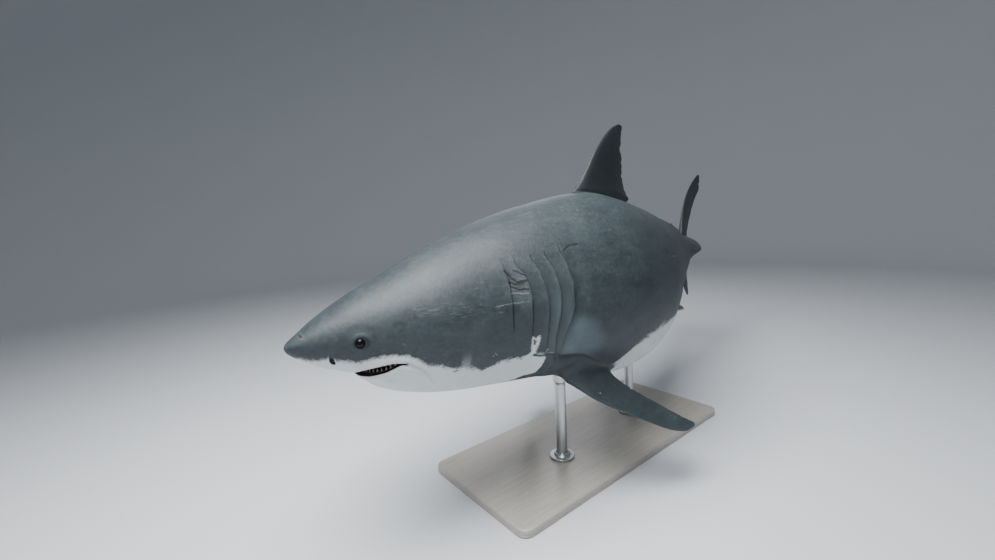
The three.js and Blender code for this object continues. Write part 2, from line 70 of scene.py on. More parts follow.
# Station, back, belly and half-width.
BODY = np.array(
    [
        [0, -0.7, -0.7, 0],
        [1, 0.25, -1.85, 1.35],
        [3, 1.6, -3.1, 2.6],
        [5.5, 2.95, -4.15, 3.9],
        [7.2, 3.75, -5.75, 4.6],
        [9, 4.45, -6.75, 5.25],
        [14, 6.7, -8.15, 6.8],
        [20, 8.9, -8.85, 8.0],
        [27, 10.65, -9.5, 9.15],
        [36, 11.9, -12.0, 9.85],
        [41, 11.1, -12.5, 9.4],
        [46, 10.0, -12.2, 8.7],
        [56, 8.3, -9.25, 6.85],
        [66, 6.8, -6.25, 5.15],
        [74, 4.2, -3.75, 3.4],
        [80, 3.2, -2.2, 2.3],
        [84.5, 3.0, -1.4, 1.6],
        [88, 2.6, -1.0, 1.15],
        [90.5, 1.4, -0.65, 0.65],
    ]
)
WAIST = [[0, -0.7], [3, -0.5], [14, -0.4], [36, -0.2], [56, 0], [90.5, 0]]
KEEL = [[64, 0], [70, 0.3], [76, 1.0], [80, 1.9], [84, 2.5], [87, 2.2], [89.5, 1.2], [90.5, 0.6]]
SIDE_ROUNDNESS = 0.96
BELLY_ROUNDNESS = 0.94
KEEL_ABOVE, KEEL_BELOW = 1.9, 12
HEADING = [
    [0, -4], [24, -4], [36, 0], [50, 16.5], [62, 16], [74, 16], [80, 18.5], [85, 25], [92, 13],
    [100, 3],
]  # fmt: skip

# Each gill slit as degrees round from the back and station, and how wide and deep it is.
GILL_SLITS = [
    ([[56, 18.9], [63, 19.05], [68, 18.95], [80, 18.85], [104, 18.9], [120, 19.1]], 0.7),
    ([[56, 20.2], [61, 20.6], [66, 20.85], [75, 21.0], [84, 20.8], [100, 20.85], [120, 21.0]], 1.0),
    ([[56, 22.0], [66, 22.45], [79, 22.68], [95, 22.5], [114, 22.65], [120, 22.7]], 0.8),
    (
        [[56, 23.6], [63, 23.85], [70, 24.1], [79, 24.2], [90, 23.85], [102, 23.55], [120, 23.95]],
        0.8,
    ),
    (
        [[56, 25.4], [67, 25.65], [75, 25.9], [82, 25.75], [92, 25.35], [101, 24.85], [120, 24.5]],
        1.2,
    ),
]  # fmt: skip
# The slits run between these degrees. Their cuts, shade and flaps fade out over so many more.
GILL_TOP, GILL_FOOT = 62, 113
CUT_FADE, SHADE_FADE, FLAP_FADE = 10, 12, 15
# The first two slits lie nearly shut in their lower part.
SLIT_SHUT = (0.95, 0.7, 0, 0, 0)
# Columns of points across a slit: distance behind it, shift and height where it is open.
GILL_COLUMNS = [
    [-0.50, 0, 0], [-0.36, 0, 0.02], [-0.24, 0.01, 0.05], [-0.15, 0.02, 0.07],
    [-0.09, 0, 0.05], [-0.07, -0.04, -0.02], [-0.06, -0.10, -0.12], [-0.04, -0.16, -0.26],
    [-0.02, -0.2, -0.38], [0.03, -0.17, -0.42], [0.07, -0.09, -0.34], [0.10, -0.02, -0.2],
    [0.14, 0, -0.08], [0.20, 0, -0.02], [0.30, 0, 0],
]  # fmt: skip

UPPER_LIP = [
    [4.5, -5.0], [5.0, -4.0], [5.6, -3.42], [6.2, -3.16], [7.0, -2.94], [7.8, -2.83],
    [8.8, -2.94], [10.1, -3.6], [11.2, -4.6], [11.6, -5.4],
]  # fmt: skip
MOUTH_GAP = [[4.5, 1.0], [6.0, 0.95], [7.3, 0.8], [7.9, 0.56], [8.5, 0.2], [9.2, 0.03]]
EYE = {"station": 5.5, "up": -0.54, "depth": 0.26, "radius": 0.44}
NOSTRIL = {"station": 3.3, "up": -2.0, "length": 0.5, "width": 0.2, "depth": 0.3}

# Fin rows from root to tip: front edge, rear edge, half the thickness.
FIN_EDGE = 0.055
FIRST_DORSAL = [
    [35.4, 8.8, 46.6, 8.2, 0.95],
    [34.2, 11.5, 46.9, 9.8, 0.9],
    [35.3, 12.4, 48.5, 10.3, 0.84],
    [36.2, 13.2, 49.8, 10.9, 0.78],
    [37.6, 14.9, 47.9, 12.3, 0.66],
    [39.5, 17.3, 47.1, 14.4, 0.52],
    [41.9, 19.4, 46.95, 17.0, 0.38],
    [44.0, 20.6, 46.8, 19.2, 0.24],
    [45.9, 21.2, 47.3, 21.05, 0.12],
]
SECOND_DORSAL = [
    [72.6, 2.7, 74.2, 2.7, 0.2],
    [72.5, 4.3, 74.3, 4.1, 0.18],
    [73.1, 5.1, 76.2, 4.45, 0.15],
    [74.2, 5.75, 75.4, 5.4, 0.1],
    [75.0, 6.0, 75.5, 5.9, 0.07],
]
ANAL = [
    [74.2, -2.2, 76.0, -2.1, 0.2],
    [74.1, -3.5, 76.1, -3.2, 0.18],
    [74.8, -4.7, 78.0, -3.8, 0.15],
    [76.0, -5.6, 77.3, -5.1, 0.1],
    [76.9, -5.9, 77.4, -5.7, 0.07],
]
UPPER_TAIL = [
    [85.6, 0.2, 92.6, 0.2, 1.2],
    [85.9, 1.9, 92.2, 1.6, 1.05],
    [86.8, 4.7, 93.3, 4.2, 0.66],
    [88.9, 8.2, 95.3, 7.5, 0.45],
    [91.9, 11.5, 97.7, 10.7, 0.32],
    [95.2, 14.0, 99.8, 13.0, 0.22],
    [97.6, 15.5, 100.2, 14.7, 0.15],
    [99.2, 16.3, 100.0, 16.1, 0.08],
]
LOWER_TAIL = [
    [86.0, 0.2, 92.6, 0.2, 1.2],
    [86.7, -1.9, 92.3, -1.6, 0.85],
    [87.8, -4.6, 92.4, -4.1, 0.52],
    [89.4, -7.4, 93.0, -6.9, 0.36],
    [91.5, -10.0, 93.8, -9.5, 0.22],
    [93.6, -11.9, 94.3, -11.7, 0.09],
]
PECTORAL = {
    "root": (26, 6.0, -7.9),
    "pitch": 9.4,
    "droop": 40,
    "rows": [
        [0.6, -2.6, 7.4, -3.0, 2.0],
        [0.25, 0.0, 8.1, -0.2, 1.6],
        [1.2, 1.8, 7.75, 1.5, 1.0],
        [2.7, 3.9, 8.6, 3.1, 0.6],
        [5.0, 5.8, 9.8, 4.6, 0.4],
        [7.6, 7.75, 11.1, 6.1, 0.3],
        [9.9, 9.3, 12.3, 7.6, 0.21],
        [12.1, 10.0, 13.3, 8.8, 0.14],
        [13.5, 9.9, 13.9, 9.5, 0.08],
    ],
}
PELVIC = {
    "root": (55.5, 4.5, -6.9),
    "pitch": 3,
    "droop": 22,
    "rows": [
        [0.2, -2.6, 3.9, -2.6, 0.34],
        [0.0, -0.6, 4.2, -0.8, 0.3],
        [0.8, 0.6, 6.0, 0.0, 0.22],
        [2.2, 1.3, 5.6, 0.8, 0.14],
        [3.8, 1.6, 5.0, 1.35, 0.08],
    ],
}

# The border between the dark back and the pale belly: station and height.
COLOUR_LINE = [
    [0, -1.6], [0.5, -1.7], [0.8, -1.62], [1.25, -1.68], [1.85, -1.89], [2.4, -1.86], [2.9, -1.72],
    [3.5, -1.97], [4.2, -2.18], [5.3, -2.42], [6.0, -2.3], [6.8, -2.1], [7.7, -2.05], [8.9, -2.25],
    [10.0, -2.8], [10.9, -3.4], [12.0, -3.72], [13.0, -4.15], [13.8, -4.3], [14.8, -4.5],
    [15.9, -4.9], [17.2, -4.62], [18.4, -4.44], [19.2, -4.45], [19.9, -4.55], [20.6, -4.35],
    [21.3, -4.3], [22.0, -4.5], [22.6, -4.7], [23.0, -5.2], [23.35, -7.6], [24.0, -8.9],
    [28.0, -8.95], [32.0, -9.1], [33.3, -9.0], [33.7, -8.7], [34.3, -7.75], [35.2, -6.95],
    [36.2, -6.35], [37.4, -5.85], [38.6, -5.55], [40.0, -5.25], [43.0, -5.25], [46.0, -5.4],
    [50.0, -5.5], [55.0, -5.5], [59.0, -5.0], [63.0, -4.2], [68.0, -2.9], [74.0, -1.8],
    [80.0, -1.1], [86.0, -0.5], [90.5, -0.3],
]  # fmt: skip
# A dark wedge runs forwards from the root of each pectoral fin, under the throat's side.
WEDGE = [
    [17.5, -10], [19.5, -8.3], [20.6, -7.75], [21.3, -7.3], [22.2, -7.0], [23.1, -6.6],
    [23.5, -5.2],
]  # fmt: skip
# The dark root of each pectoral fin reaches back to this station.
ROOT_END = 34.8
# Each gill slit has shade round it: how dark it is and how far it fades backwards and forwards.
SLIT_SHADE = [
    (0.14, 0.2, 0.05), (0.12, 0.25, 0.05), (0.17, 0.3, 0.05), (0.17, 0.35, 0.05), (0.26, 0.45, 0.4),
]  # fmt: skip
# The crease over the root of each pectoral fin, and the short one in front of it.
ROOT_CREASE = [
    [22, -4.35], [23.8, -4.75], [24.9, -5.17], [26.6, -5.42], [27.9, -5.75], [29.4, -6.47],
    [30.9, -7.43], [32.5, -8.39], [33.7, -8.9],
]  # fmt: skip
THROAT_CREASE = [[20.9, -4.4], [21.95, -4.15], [22.75, -4.3], [23.8, -4.7]]

# Bites in the rear edge of the first dorsal fin: share of the height, depth and width.
DORSAL_NICKS = [
    (0.5, 0.16, 0.012), (0.56, 0.12, 0.01), (0.615, 0.34, 0.018), (0.66, 0.14, 0.009),
    (0.695, 0.12, 0.008), (0.73, -0.12, 0.012), (0.8, 0.55, 0.03), (0.87, 0.14, 0.01),
]  # fmt: skip

SIDES = (("left", 1), ("right", -1))
BODY_PART, DARK_FIN, PECTORAL_FIN, PALE_FIN, LINING, NOSE = range(6)
FLESH = [
    "head", "lower_jaw", "gills", "chest", "middle", "loin", "tail_root", "tail_stem",
    "dorsal_fin_first", "dorsal_fin_second", "anal_fin", "tail_fin_upper", "tail_fin_lower",
    "pectoral_fin_left", "pectoral_fin_right", "pelvic_fin_left", "pelvic_fin_right",
]  # fmt: skip

# ---------------------------------------------------------------- sizes of the studio, in metres

FLOOR_REACH, WALL_BEND = 10, 5
CAMERA_FORWARD, CAMERA_UP = (0.6121, 0.7765, -0.1495), (0.1351, 0.0836, 0.9873)
CAMERA_FROM_CHEST = (-2.027, -1.760, 0.453)

# ---------------------------------------------------------------- curves and the bent spine


def curve(pairs, column=1):
    """A function through [x, y] pairs that never swings past them: a cubic between neighbours,
    whose slope at each pair is the harmonic mean of the slopes on its two sides."""
    table = np.asarray(pairs, float)
    xs, ys = table[:, 0], table[:, column]
    rise = np.diff(ys) / np.diff(xs)
    before, after = rise[:-1], rise[1:]
    same_way = before * after > 0
    mean = 2 * before * after / np.where(same_way, before + after, 1)
    slopes = np.concatenate([rise[:1], np.where(same_way, mean, 0), rise[-1:]])

    def at(x):
        x = np.clip(x, xs[0], xs[-1])
        i = np.clip(np.searchsorted(xs, x, side="right") - 1, 0, len(xs) - 2)
        width = xs[i + 1] - xs[i]
        t = (x - xs[i]) / width
        return (
            ys[i] * (2 * t**3 - 3 * t**2 + 1)
            + slopes[i] * width * (t**3 - 2 * t**2 + t)
            + ys[i + 1] * (3 * t**2 - 2 * t**3)
            + slopes[i + 1] * width * (t**3 - t**2)
        )

    return at


def smoothstep(x, low, high):
    """0 below low, 1 above high, and 3t^2 - 2t^3 between them."""
    t = np.clip((x - low) / (high - low), 0, 1)
    return t * t * (3 - 2 * t)


def bell(x, middle, width):
    """A bell curve: e to the minus square of the distance from middle over width."""
    return np.exp(-(((x - middle) / width) ** 2))


def on_root(column):
    """An outline curve that runs over the square root of the station, which rounds the snout."""
    outline = curve(np.column_stack([np.sqrt(BODY[:, 0]), BODY[:, column]]))
    return lambda station: outline(np.sqrt(np.maximum(station, 0)))


back_at, belly_at, width_at = (on_root(column) for column in (1, 2, 3))
waist_at, keel_at, heading_at = curve(WAIST), curve(KEEL), curve(HEADING)
lip_at, gap_at = curve(UPPER_LIP), curve(MOUTH_GAP)
colour_line_at, wedge_at = curve(COLOUR_LINE), curve(WEDGE)
root_crease_at, throat_crease_at = curve(ROOT_CREASE), curve(THROAT_CREASE)
slits_at = [curve(points) for points, _ in GILL_SLITS]

SPINE_STATIONS = np.linspace(0, 100, 401)
_headings = np.radians(heading_at((SPINE_STATIONS[1:] + SPINE_STATIONS[:-1]) / 2))
SPINE = np.vstack(
    [[0, 0], np.cumsum(np.column_stack([np.cos(_headings), np.sin(_headings)]) * 0.25, axis=0)]
)
BALANCE = np.array([np.interp(BALANCE_STATION, SPINE_STATIONS, SPINE[:, k]) for k in (0, 1)])


def body_point(station, left, up):
    """The place in metres: the spine's point at the station, plus left square to its heading in
    plan, plus up."""
    station, left, up = np.broadcast_arrays(station, left, up)
    turn = np.radians(heading_at(station))
    x = np.interp(station, SPINE_STATIONS, SPINE[:, 0]) - BALANCE[0] + left * np.sin(turn)
    y = np.interp(station, SPINE_STATIONS, SPINE[:, 1]) - BALANCE[1] - left * np.cos(turn)
    return np.stack([x * UNIT, y * UNIT + BODY_OFFSET, up * UNIT + SPINE_HEIGHT], axis=-1)


def straightened(points):
    """Station, left and up of points in metres: the nearest step of the spine in plan, then the
    distance along its heading and square to it."""
    plan = (points[:, :2] - [0, BODY_OFFSET]) / UNIT + BALANCE
    nearest = np.concatenate(
        [
            ((part[:, None, :] - SPINE[None]) ** 2).sum(-1).argmin(1)
            for part in np.array_split(plan, 40)
        ]
    )
    turn = np.radians(heading_at(SPINE_STATIONS[nearest]))
    away = plan - SPINE[nearest]
    along = away[:, 0] * np.cos(turn) + away[:, 1] * np.sin(turn)
    left = away[:, 0] * np.sin(turn) - away[:, 1] * np.cos(turn)
    return SPINE_STATIONS[nearest] + along, left, (points[:, 2] - SPINE_HEIGHT) / UNIT


def section(station, angle, lift=0.0):
    """Left and up of the skin. The angle starts at the back and runs over the left side. Left is
    the half-width times a power of the sine plus the keel, and up is the height over or under the
    waist times the cosine or a power of it. Lift moves the point off the skin."""
    sin, cos = np.sin(angle), np.cos(angle)
    waist = waist_at(station)
    side = np.abs(sin) ** SIDE_ROUNDNESS
    keel = keel_at(station) * np.abs(sin) ** np.where(cos > 0, KEEL_ABOVE, KEEL_BELOW)
    above = (back_at(station) - waist + lift) * np.maximum(cos, 0)
    below = (waist - belly_at(station) + lift) * np.maximum(-cos, 0) ** BELLY_ROUNDNESS
    return np.sign(sin) * ((width_at(station) + lift) * side + keel), waist + above - below


def half_width_at(station, up):
    """Half-width of the body at a height, from the section's formula turned round."""
    waist = waist_at(station)
    reach = np.where(up > waist, back_at(station) - waist, waist - belly_at(station))
    rise = np.clip(np.abs(up - waist) / reach, 0, 1)
    cos = np.where(up > waist, rise, rise ** (1 / BELLY_ROUNDNESS))
    return width_at(station) * np.sqrt(1 - cos * cos) ** SIDE_ROUNDNESS


def around_skin(station, left, up):
    """How far a point lies under the plain skin, and its angle round from the back. The squared
    sine and cosine that the section's formula would need for the point give both: one less the root
    of their sum, times the smaller half-size there, and the angle of the two."""
    waist = waist_at(station)
    reach = np.where(up > waist, back_at(station) - waist, waist - belly_at(station))
    wide = np.maximum(width_at(station), 0.05)
    reach = np.maximum(reach, 0.05)
    sin = (np.abs(left) / wide) ** (1 / SIDE_ROUNDNESS)
    cos = (np.abs(up - waist) / reach) ** np.where(up > waist, 1, 1 / BELLY_ROUNDNESS)
    depth = (1 - np.hypot(sin, cos)) * np.minimum(wide, reach)
    return depth, np.arctan2(sin, np.where(up > waist, cos, -cos))


# ---------------------------------------------------------------- meshes from surfaces


def grid_faces(rows, columns, start=0):
    """Quads of a grid of rows of points whose columns close on themselves."""
    i, k = np.meshgrid(np.arange(rows - 1), np.arange(columns), indexing="ij")
    j = (k + 1) % columns
    quads = np.stack(
        [i * columns + k, i * columns + j, (i + 1) * columns + j, (i + 1) * columns + k], -1
    )
    return quads.reshape(-1, 4) + start


def closed(rings):
    """Points and faces of a surface through rings of points, its two ends closed by a fan round
    their middle. The faces are turned round if the volume they enclose is below zero."""
    rows, columns, _ = rings.shape
    points = np.concatenate([rings.reshape(-1, 3), rings[0].mean(0)[None], rings[-1].mean(0)[None]])
    quads = grid_faces(rows, columns)
    around = np.arange(columns)
    after = (around + 1) % columns
    first, last = rows * columns, rows * columns + 1
    end = (rows - 1) * columns
    fans = np.concatenate(
        [
            np.column_stack([after, around, np.full(columns, first)]),
            np.column_stack([end + around, end + after, np.full(columns, last)]),
        ]
    )
    corners = np.concatenate([quads[:, [0, 1, 2]], quads[:, [0, 2, 3]], fans])
    a, b, c = (points[corners[:, n]] for n in range(3))
    if np.einsum("ij,ij->i", a, np.cross(b, c)).sum() < 0:
        quads, fans = quads[:, ::-1], fans[:, ::-1]
    return points, quads.tolist() + fans.tolist()


def mesh_object(name, points, faces, smooth=True):
    """A new object in the scene from arrays of points in metres and lists of corners."""
    mesh = bpy.data.meshes.new(name)
    mesh.from_pydata(points.tolist() if hasattr(points, "tolist") else points, [], faces)
    mesh.update()
    mesh.polygons.foreach_set("use_smooth", np.full(len(mesh.polygons), smooth))
    made = bpy.data.objects.new(name, mesh)
    bpy.context.scene.collection.objects.link(made)
    return made


def several(parts):
    """One set of points and faces from a list of them."""
    points, faces, start = [], [], 0
    for part_points, part_faces in parts:
        points.append(part_points)
        faces += [[corner + start for corner in face] for face in part_faces]
        start += len(part_points)
    return np.concatenate(points), faces


def ball(centre, radii, rows=32, around=48, turn=None):
    """An ellipsoid: the sine and cosine of two angles times the radii, turned, then moved."""
    tilt = np.linspace(0.04, math.pi - 0.04, rows)[:, None]
    spin = (np.arange(around) * 2 * math.pi / around)[None]
    unit = np.stack(
        [np.sin(tilt) * np.cos(spin), np.sin(tilt) * np.sin(spin), np.cos(tilt) + 0 * spin], -1
    )
    shaped = unit * np.asarray(radii)
    if turn is not None:
        shaped = shaped @ np.array(turn.to_3x3()).T
    return closed(shaped + np.asarray(centre))


# ---------------------------------------------------------------- the body's surface


def spread(start, stop, spacing):
    """Stations from start to stop whose distance apart follows a curve: equal steps of the running
    sum of one over the spacing."""
    fine = np.linspace(start, stop, 4000)
    running = np.concatenate([[0], np.cumsum(1 / spacing(fine)[1:]) * (fine[1] - fine[0])])
    return np.interp(np.linspace(0, running[-1], int(running[-1]) + 2), running, fine)


def from_back(angle):
    """The smaller of an angle and its mirror image, so that both sides run from the back."""
    return np.minimum(angle % (2 * math.pi), -angle % (2 * math.pi))


def gill_share(degrees, fade):
    """1 where the gill slits are open and 0 above and below them."""
    opening = smoothstep(degrees, GILL_TOP - fade, GILL_TOP + fade)
    return opening * (1 - smoothstep(degrees, GILL_FOOT - fade, GILL_FOOT + fade))


def slit_open(number, degrees):
    """How far one slit stands open: 1, falling in its lower part to one less its share shut."""
    return 1 - SLIT_SHUT[number] * smoothstep(degrees, 79, 94)


def slit_shade(station, degrees):
    """Shade round the gill slits: it falls as e to the minus distance over the slit's own reach
    behind it and in front of it."""
    shade = 0 * station
    for n, (slit, (dark, back, front)) in enumerate(zip(slits_at, SLIT_SHADE)):
        behind = station - slit(degrees)
        fall = np.exp(-np.where(behind > 0, behind / back, -behind / front))
        shade = np.maximum(shade, dark * slit_open(n, degrees) * fall)
    return shade * gill_share(degrees, SHADE_FADE)


def pleats(station, degrees):
    """Height of the gill flaps: from each slit to the next it rises as the square of the share of
    the way, so that every flap's rear edge stands over the start of the next one. In front of the
    first and behind the last it fades out."""
    lines = [slit(degrees) for slit in slits_at]
    lines = [lines[0] - 2.6, *lines, lines[-1] + 3.2]
    lift = 0 * station
    for n, (start, stop) in enumerate(zip(lines, lines[1:])):
        share = (station - start) / (stop - start)
        inside = (share >= 0) & (share < 1)
        if n == 0:
            height = 0.16 * share**3
        elif n < len(lines) - 2:
            height = -0.07 + (0.3 if n != 1 else 0.36) * np.abs(share) ** 1.8
        else:
            height = -0.3 * (1 - share) ** 2 * (1 + 3 * share) + 0.14 * bell(share, 0.62, 0.22)
        lift = np.where(inside, height * slit_open(min(n, 4), degrees), lift)
    return lift * gill_share(degrees, FLAP_FADE)


def relief(station, angle):
    """Height of the flesh over the plain section: lips, brow, gill flaps, the shoulder over the
    pectoral fin and soft waves of muscle, each a product of bell curves and smooth steps."""
    round_back = np.degrees(from_back(angle))
    _, up = section(station, angle)
    lip, gap = lip_at(station), gap_at(station)
    mouth = smoothstep(station, 4.9, 5.6) * (1 - smoothstep(station, 9.2, 10.4))
    lift = 0.08 * bell(up - lip, 0.28, 0.22) * mouth
    lift -= 0.04 * bell(up - lip, 0.95, 0.3) * mouth
    lift += 0.12 * bell(lip - gap - up, 0.34, 0.36) * mouth
    # The furrow that runs back and down from the corner of the mouth.
    furrow = smoothstep(station, 8.3, 9.4) * (1 - smoothstep(station, 10.8, 12.2))
    lift -= 0.17 * bell(up - lip, 0, 0.2) * furrow
    lift += 0.07 * bell(up - lip, 0.5, 0.36) * furrow + 0.1 * bell(up - lip, -0.55, 0.42) * furrow
    to_eye = np.hypot(station - EYE["station"], up - EYE["up"])
    lift += 0.07 * bell(to_eye, 0.64, 0.16) - 0.03 * bell(to_eye, 1.15, 0.3)
    slope = (station - NOSTRIL["station"]) * 0.9 + (up - NOSTRIL["up"]) * 0.42
    lift += 0.07 * bell(np.hypot(slope + 0.34, 0.45 * (up - NOSTRIL["up"])), 0, 0.24)
    lift += 0.14 * bell(station, 22.3, 3.6) * bell(round_back, 92, 28)
    lift = lift + pleats(station, round_back)
    crease = smoothstep(station, 20.8, 21.3) * (1 - smoothstep(station, 23.4, 24.2))
    lift -= 0.12 * bell(up, throat_crease_at(station) - 0.1, 0.12) * crease
    lift += 0.06 * bell(up, throat_crease_at(station) + 0.18, 0.16) * crease
    under = np.clip(root_crease_at(station) - up, 0, None)
    near_fin = smoothstep(station, 22.6, 25.0) * (1 - smoothstep(station, 32.5, 35.5))
    shoulder = (1 - np.exp(-((under / 0.55) ** 2))) * (1 - smoothstep(round_back, 138, 158))
    lift += 0.55 * shoulder * near_fin
    lift -= 0.1 * bell(up, root_crease_at(station) + 0.08, 0.22) * near_fin
    waves = np.sin(station * 0.9 + 0.02 * round_back) * np.sin(station * 0.37 + 1.3)
    lift += 0.035 * waves * smoothstep(station, 26, 34) * (1 - smoothstep(station, 70, 84))
    lift -= 0.1 * bell(round_back, 0, 7) * bell(station, 30, 7)
    return lift


def body_rings(around):
    """Rings of skin points from the snout to the tail. Stations crowd towards the mouth and gills,
    and angles crowd towards the mouth on the head and towards the keels on the tail. At each slit
    the columns of the table stand in, shifted and sunk by how far the slit is open there."""
    steady = np.arange(around) * 2 * math.pi / around

    def angles(station):
        low = 0.3 * (1 - smoothstep(station, 14, 22))
        keels = 0.4 * smoothstep(station, 66, 78)
        return steady + low * np.sin(steady) + keels / 2 * np.sin(2 * steady)

    spacing = curve(
        [[0, 0.07], [1.2, 0.1], [4.2, 0.12], [5, 0.11], [11.6, 0.13], [13.5, 0.28], [18, 0.3],
         [26, 0.3], [32, 0.42], [46, 0.5], [60, 0.55], [80, 0.45], [90.5, 0.3]]
    )  # fmt: skip
    plain = np.concatenate([np.square(np.linspace(0.1, 1, 15))[:-1], spread(1, 17.7, spacing)])
    columns = [(np.full(around, s), 0) for s in plain]

    degrees = np.degrees(from_back(steady))
    wobble = 0.03 * np.sin(degrees * 0.23) + 0.02 * np.sin(degrees * 0.51 + 1)
    is_open = gill_share(degrees, CUT_FADE)

    def between(target, count):
        previous = columns[-1][0]
        for n in range(1, count + 1):
            columns.append((previous + (target - previous) * n / (count + 1), 0))

    for n, (slit, (_, size)) in enumerate(zip(slits_at, GILL_SLITS)):
        line = slit(degrees) + wobble * (1 + 0.3 * n)
        between(line + GILL_COLUMNS[0][0], 4)
        open_here = is_open * size * slit_open(n, degrees)
        for behind, shift, sunk in GILL_COLUMNS:
            reach = size if behind > -0.1 else 1
            columns.append((line + behind * reach + shift * open_here, sunk * open_here))
    rest = spread(27.2, BODY_END, spacing)
    between(np.full(around, rest[0]), 5)
    columns += [(np.full(around, s), 0) for s in rest]

    rings = []
    for station, sunk in columns:
        middle = float(np.mean(station))
        angle = angles(middle)
        lift = relief(station, angle) * smoothstep(station, 0.2, 2)
        rings.append(body_point(station, *section(station, angle, lift + sunk)))
    return np.array(rings)


# ---------------------------------------------------------------- fins


def median(along, out, off):
    """A fin on the back, belly or tail lies in the spine's upright surface."""
    return body_point(along, off, out)


def fin_axes(fin):
    """Unit directions along a paired fin's root, out to its tip and across it: pitch lowers the
    rear edge, droop the tip, and the last is the cross product of the two."""
    pitch, droop = math.radians(fin["pitch"]), math.radians(fin["droop"])
    chord = np.array([math.cos(pitch), 0, -math.sin(pitch)])
    span = np.array([0, math.cos(droop), -math.sin(droop)])
    normal = np.cross(chord, span)
    return np.array([chord, span, normal / np.linalg.norm(normal)])


def paired(fin, sign):
    """Places on a paired fin: its root plus along, out and off times its three directions."""
    axes = fin_axes(fin)

    def place(along, out, off):
        along, out, off = np.broadcast_arrays(along, out, off)
        point = np.array(fin["root"]) + np.stack([along, out, off], -1) @ axes
        return body_point(point[..., 0], sign * point[..., 1], point[..., 2])

    return place


def behind_edge(fin, station, left, up):
    """How far points of a paired fin lie behind its front edge, and how far out they are: the three
    directions' inverse takes a point back to along and out."""
    steps = np.column_stack([station, np.abs(left), up]) - fin["root"]
    along, out, _ = (steps @ np.linalg.inv(fin_axes(fin))).T
    rows = np.array(fin["rows"])
    return along - np.interp(out, rows[:-1, 1], rows[:-1, 0]), out


def fin(rows, place, spans, chords, nicks=(), ragged=0.0, seed=1):
    """A fin as rings from root to tip. Its rows run on smooth curves, its half-thickness is
    2.6 sqrt(s) (1 - s) of the row's own, plus a thin rear edge, and the rear edge is bitten by bell
    curves: the named nicks and small seeded ones."""
    t = np.linspace(0, 1, spans + 1)[:, None]
    last = len(rows) - 1
    table = np.column_stack([np.arange(last + 1) / last, np.array(rows)])
    front, front_out, rear, rear_out, half = (curve(table, k + 1)(t) for k in range(5))
    rng = np.random.default_rng(seed)
    bites = list(nicks)
    if ragged:
        places = rng.uniform(0.2, 0.98, 26)
        bites += [
            (w, d * ragged, v)
            for w, d, v in zip(places, rng.uniform(-0.3, 1, 26), rng.uniform(0.006, 0.016, 26))
        ]
    bite = sum((depth * bell(t, where, width) for where, depth, width in bites), 0 * t)
    s = (1 - np.cos(np.linspace(0, math.pi * 0.92, chords + 1))) / (1 - math.cos(math.pi * 0.92))
    s = s[None]
    off = (half - FIN_EDGE) * 2.6 * np.sqrt(s) * (1 - s) + FIN_EDGE * 0.8 * smoothstep(s, 0, 0.05)
    along = front + (rear - bite - front) * s
    out = front_out + (rear_out - front_out) * s
    ring_along = np.concatenate([along, along[:, :0:-1]], axis=1)
    ring_out = np.concatenate([out, out[:, :0:-1]], axis=1)
    ring_off = np.concatenate([off, -off[:, :0:-1]], axis=1)
    return closed(place(ring_along, ring_out, ring_off))


def sunk_root(rows, toward):
    """The first row drawn through the middle, so that two tail lobes cross inside the stem."""
    first = list(rows[0])
    first[1] = first[3] = toward
    return [first, *rows[1:]]


def fins():
    """Name, part and surface of each fin."""
    upper_tail, lower_tail = sunk_root(UPPER_TAIL, -0.4), sunk_root(LOWER_TAIL, 0.4)
    made = [
        ("first_dorsal", DARK_FIN, fin(FIRST_DORSAL, median, 150, 18, DORSAL_NICKS, 0.24, 3)),
        ("second_dorsal", DARK_FIN, fin(SECOND_DORSAL, median, 20, 10, (), 0.05, 4)),
        ("anal", PALE_FIN, fin(ANAL, median, 20, 10, (), 0.05, 5)),
        ("upper_tail", DARK_FIN, fin(upper_tail, median, 64, 16, [(0.8, 0.5, 0.03)], 0.16, 6)),
        ("lower_tail", DARK_FIN, fin(lower_tail, median, 44, 14, (), 0.16, 7)),
    ]
    for side, sign in SIDES:
        pectoral = fin(PECTORAL["rows"], paired(PECTORAL, sign), 60, 22, (), 0.14, 8)
        pelvic = fin(PELVIC["rows"], paired(PELVIC, sign), 22, 12, (), 0.08, 9)
        made.append((f"pectoral_{side}", PECTORAL_FIN, pectoral))
        made.append((f"pelvic_{side}", PALE_FIN, pelvic))
    return made


# ---------------------------------------------------------------- cutters


def mouth_cutter():
    """The space between the lips: a grid over station and left whose top is the upper lip's height
    and whose floor is the lower lip's, both arching away from each other under the skin."""
    stations = np.linspace(4.2, 9.1, 72)[:, None]
    left = np.linspace(-8, 8, 97)[None]
    upper, gap = lip_at(stations), gap_at(stations)
    open_here = 1 - smoothstep(stations, 7.9, 9.0)
    roof = upper + 0.6 * open_here * smoothstep(around_skin(stations, left, upper)[0], 0.3, 1.2)
    low = upper - gap
    floor = low - 0.4 * open_here * smoothstep(around_skin(stations, left, low)[0], 0.3, 1.2)
    floor = np.minimum(floor, roof - 0.02)
    along = np.concatenate([left + 0 * roof, (left + 0 * roof)[:, ::-1]], axis=1)
    heights = np.concatenate([roof + 0 * left, (floor + 0 * left)[:, ::-1]], axis=1)
    return closed(body_point(stations + 0 * along, along, heights))


def eye_centre(sign):
    """The middle of an eyeball, sunk so far into the plain skin's side."""
    left = sign * (half_width_at(EYE["station"], EYE["up"]) - EYE["depth"])
    return body_point(EYE["station"], left, EYE["up"])


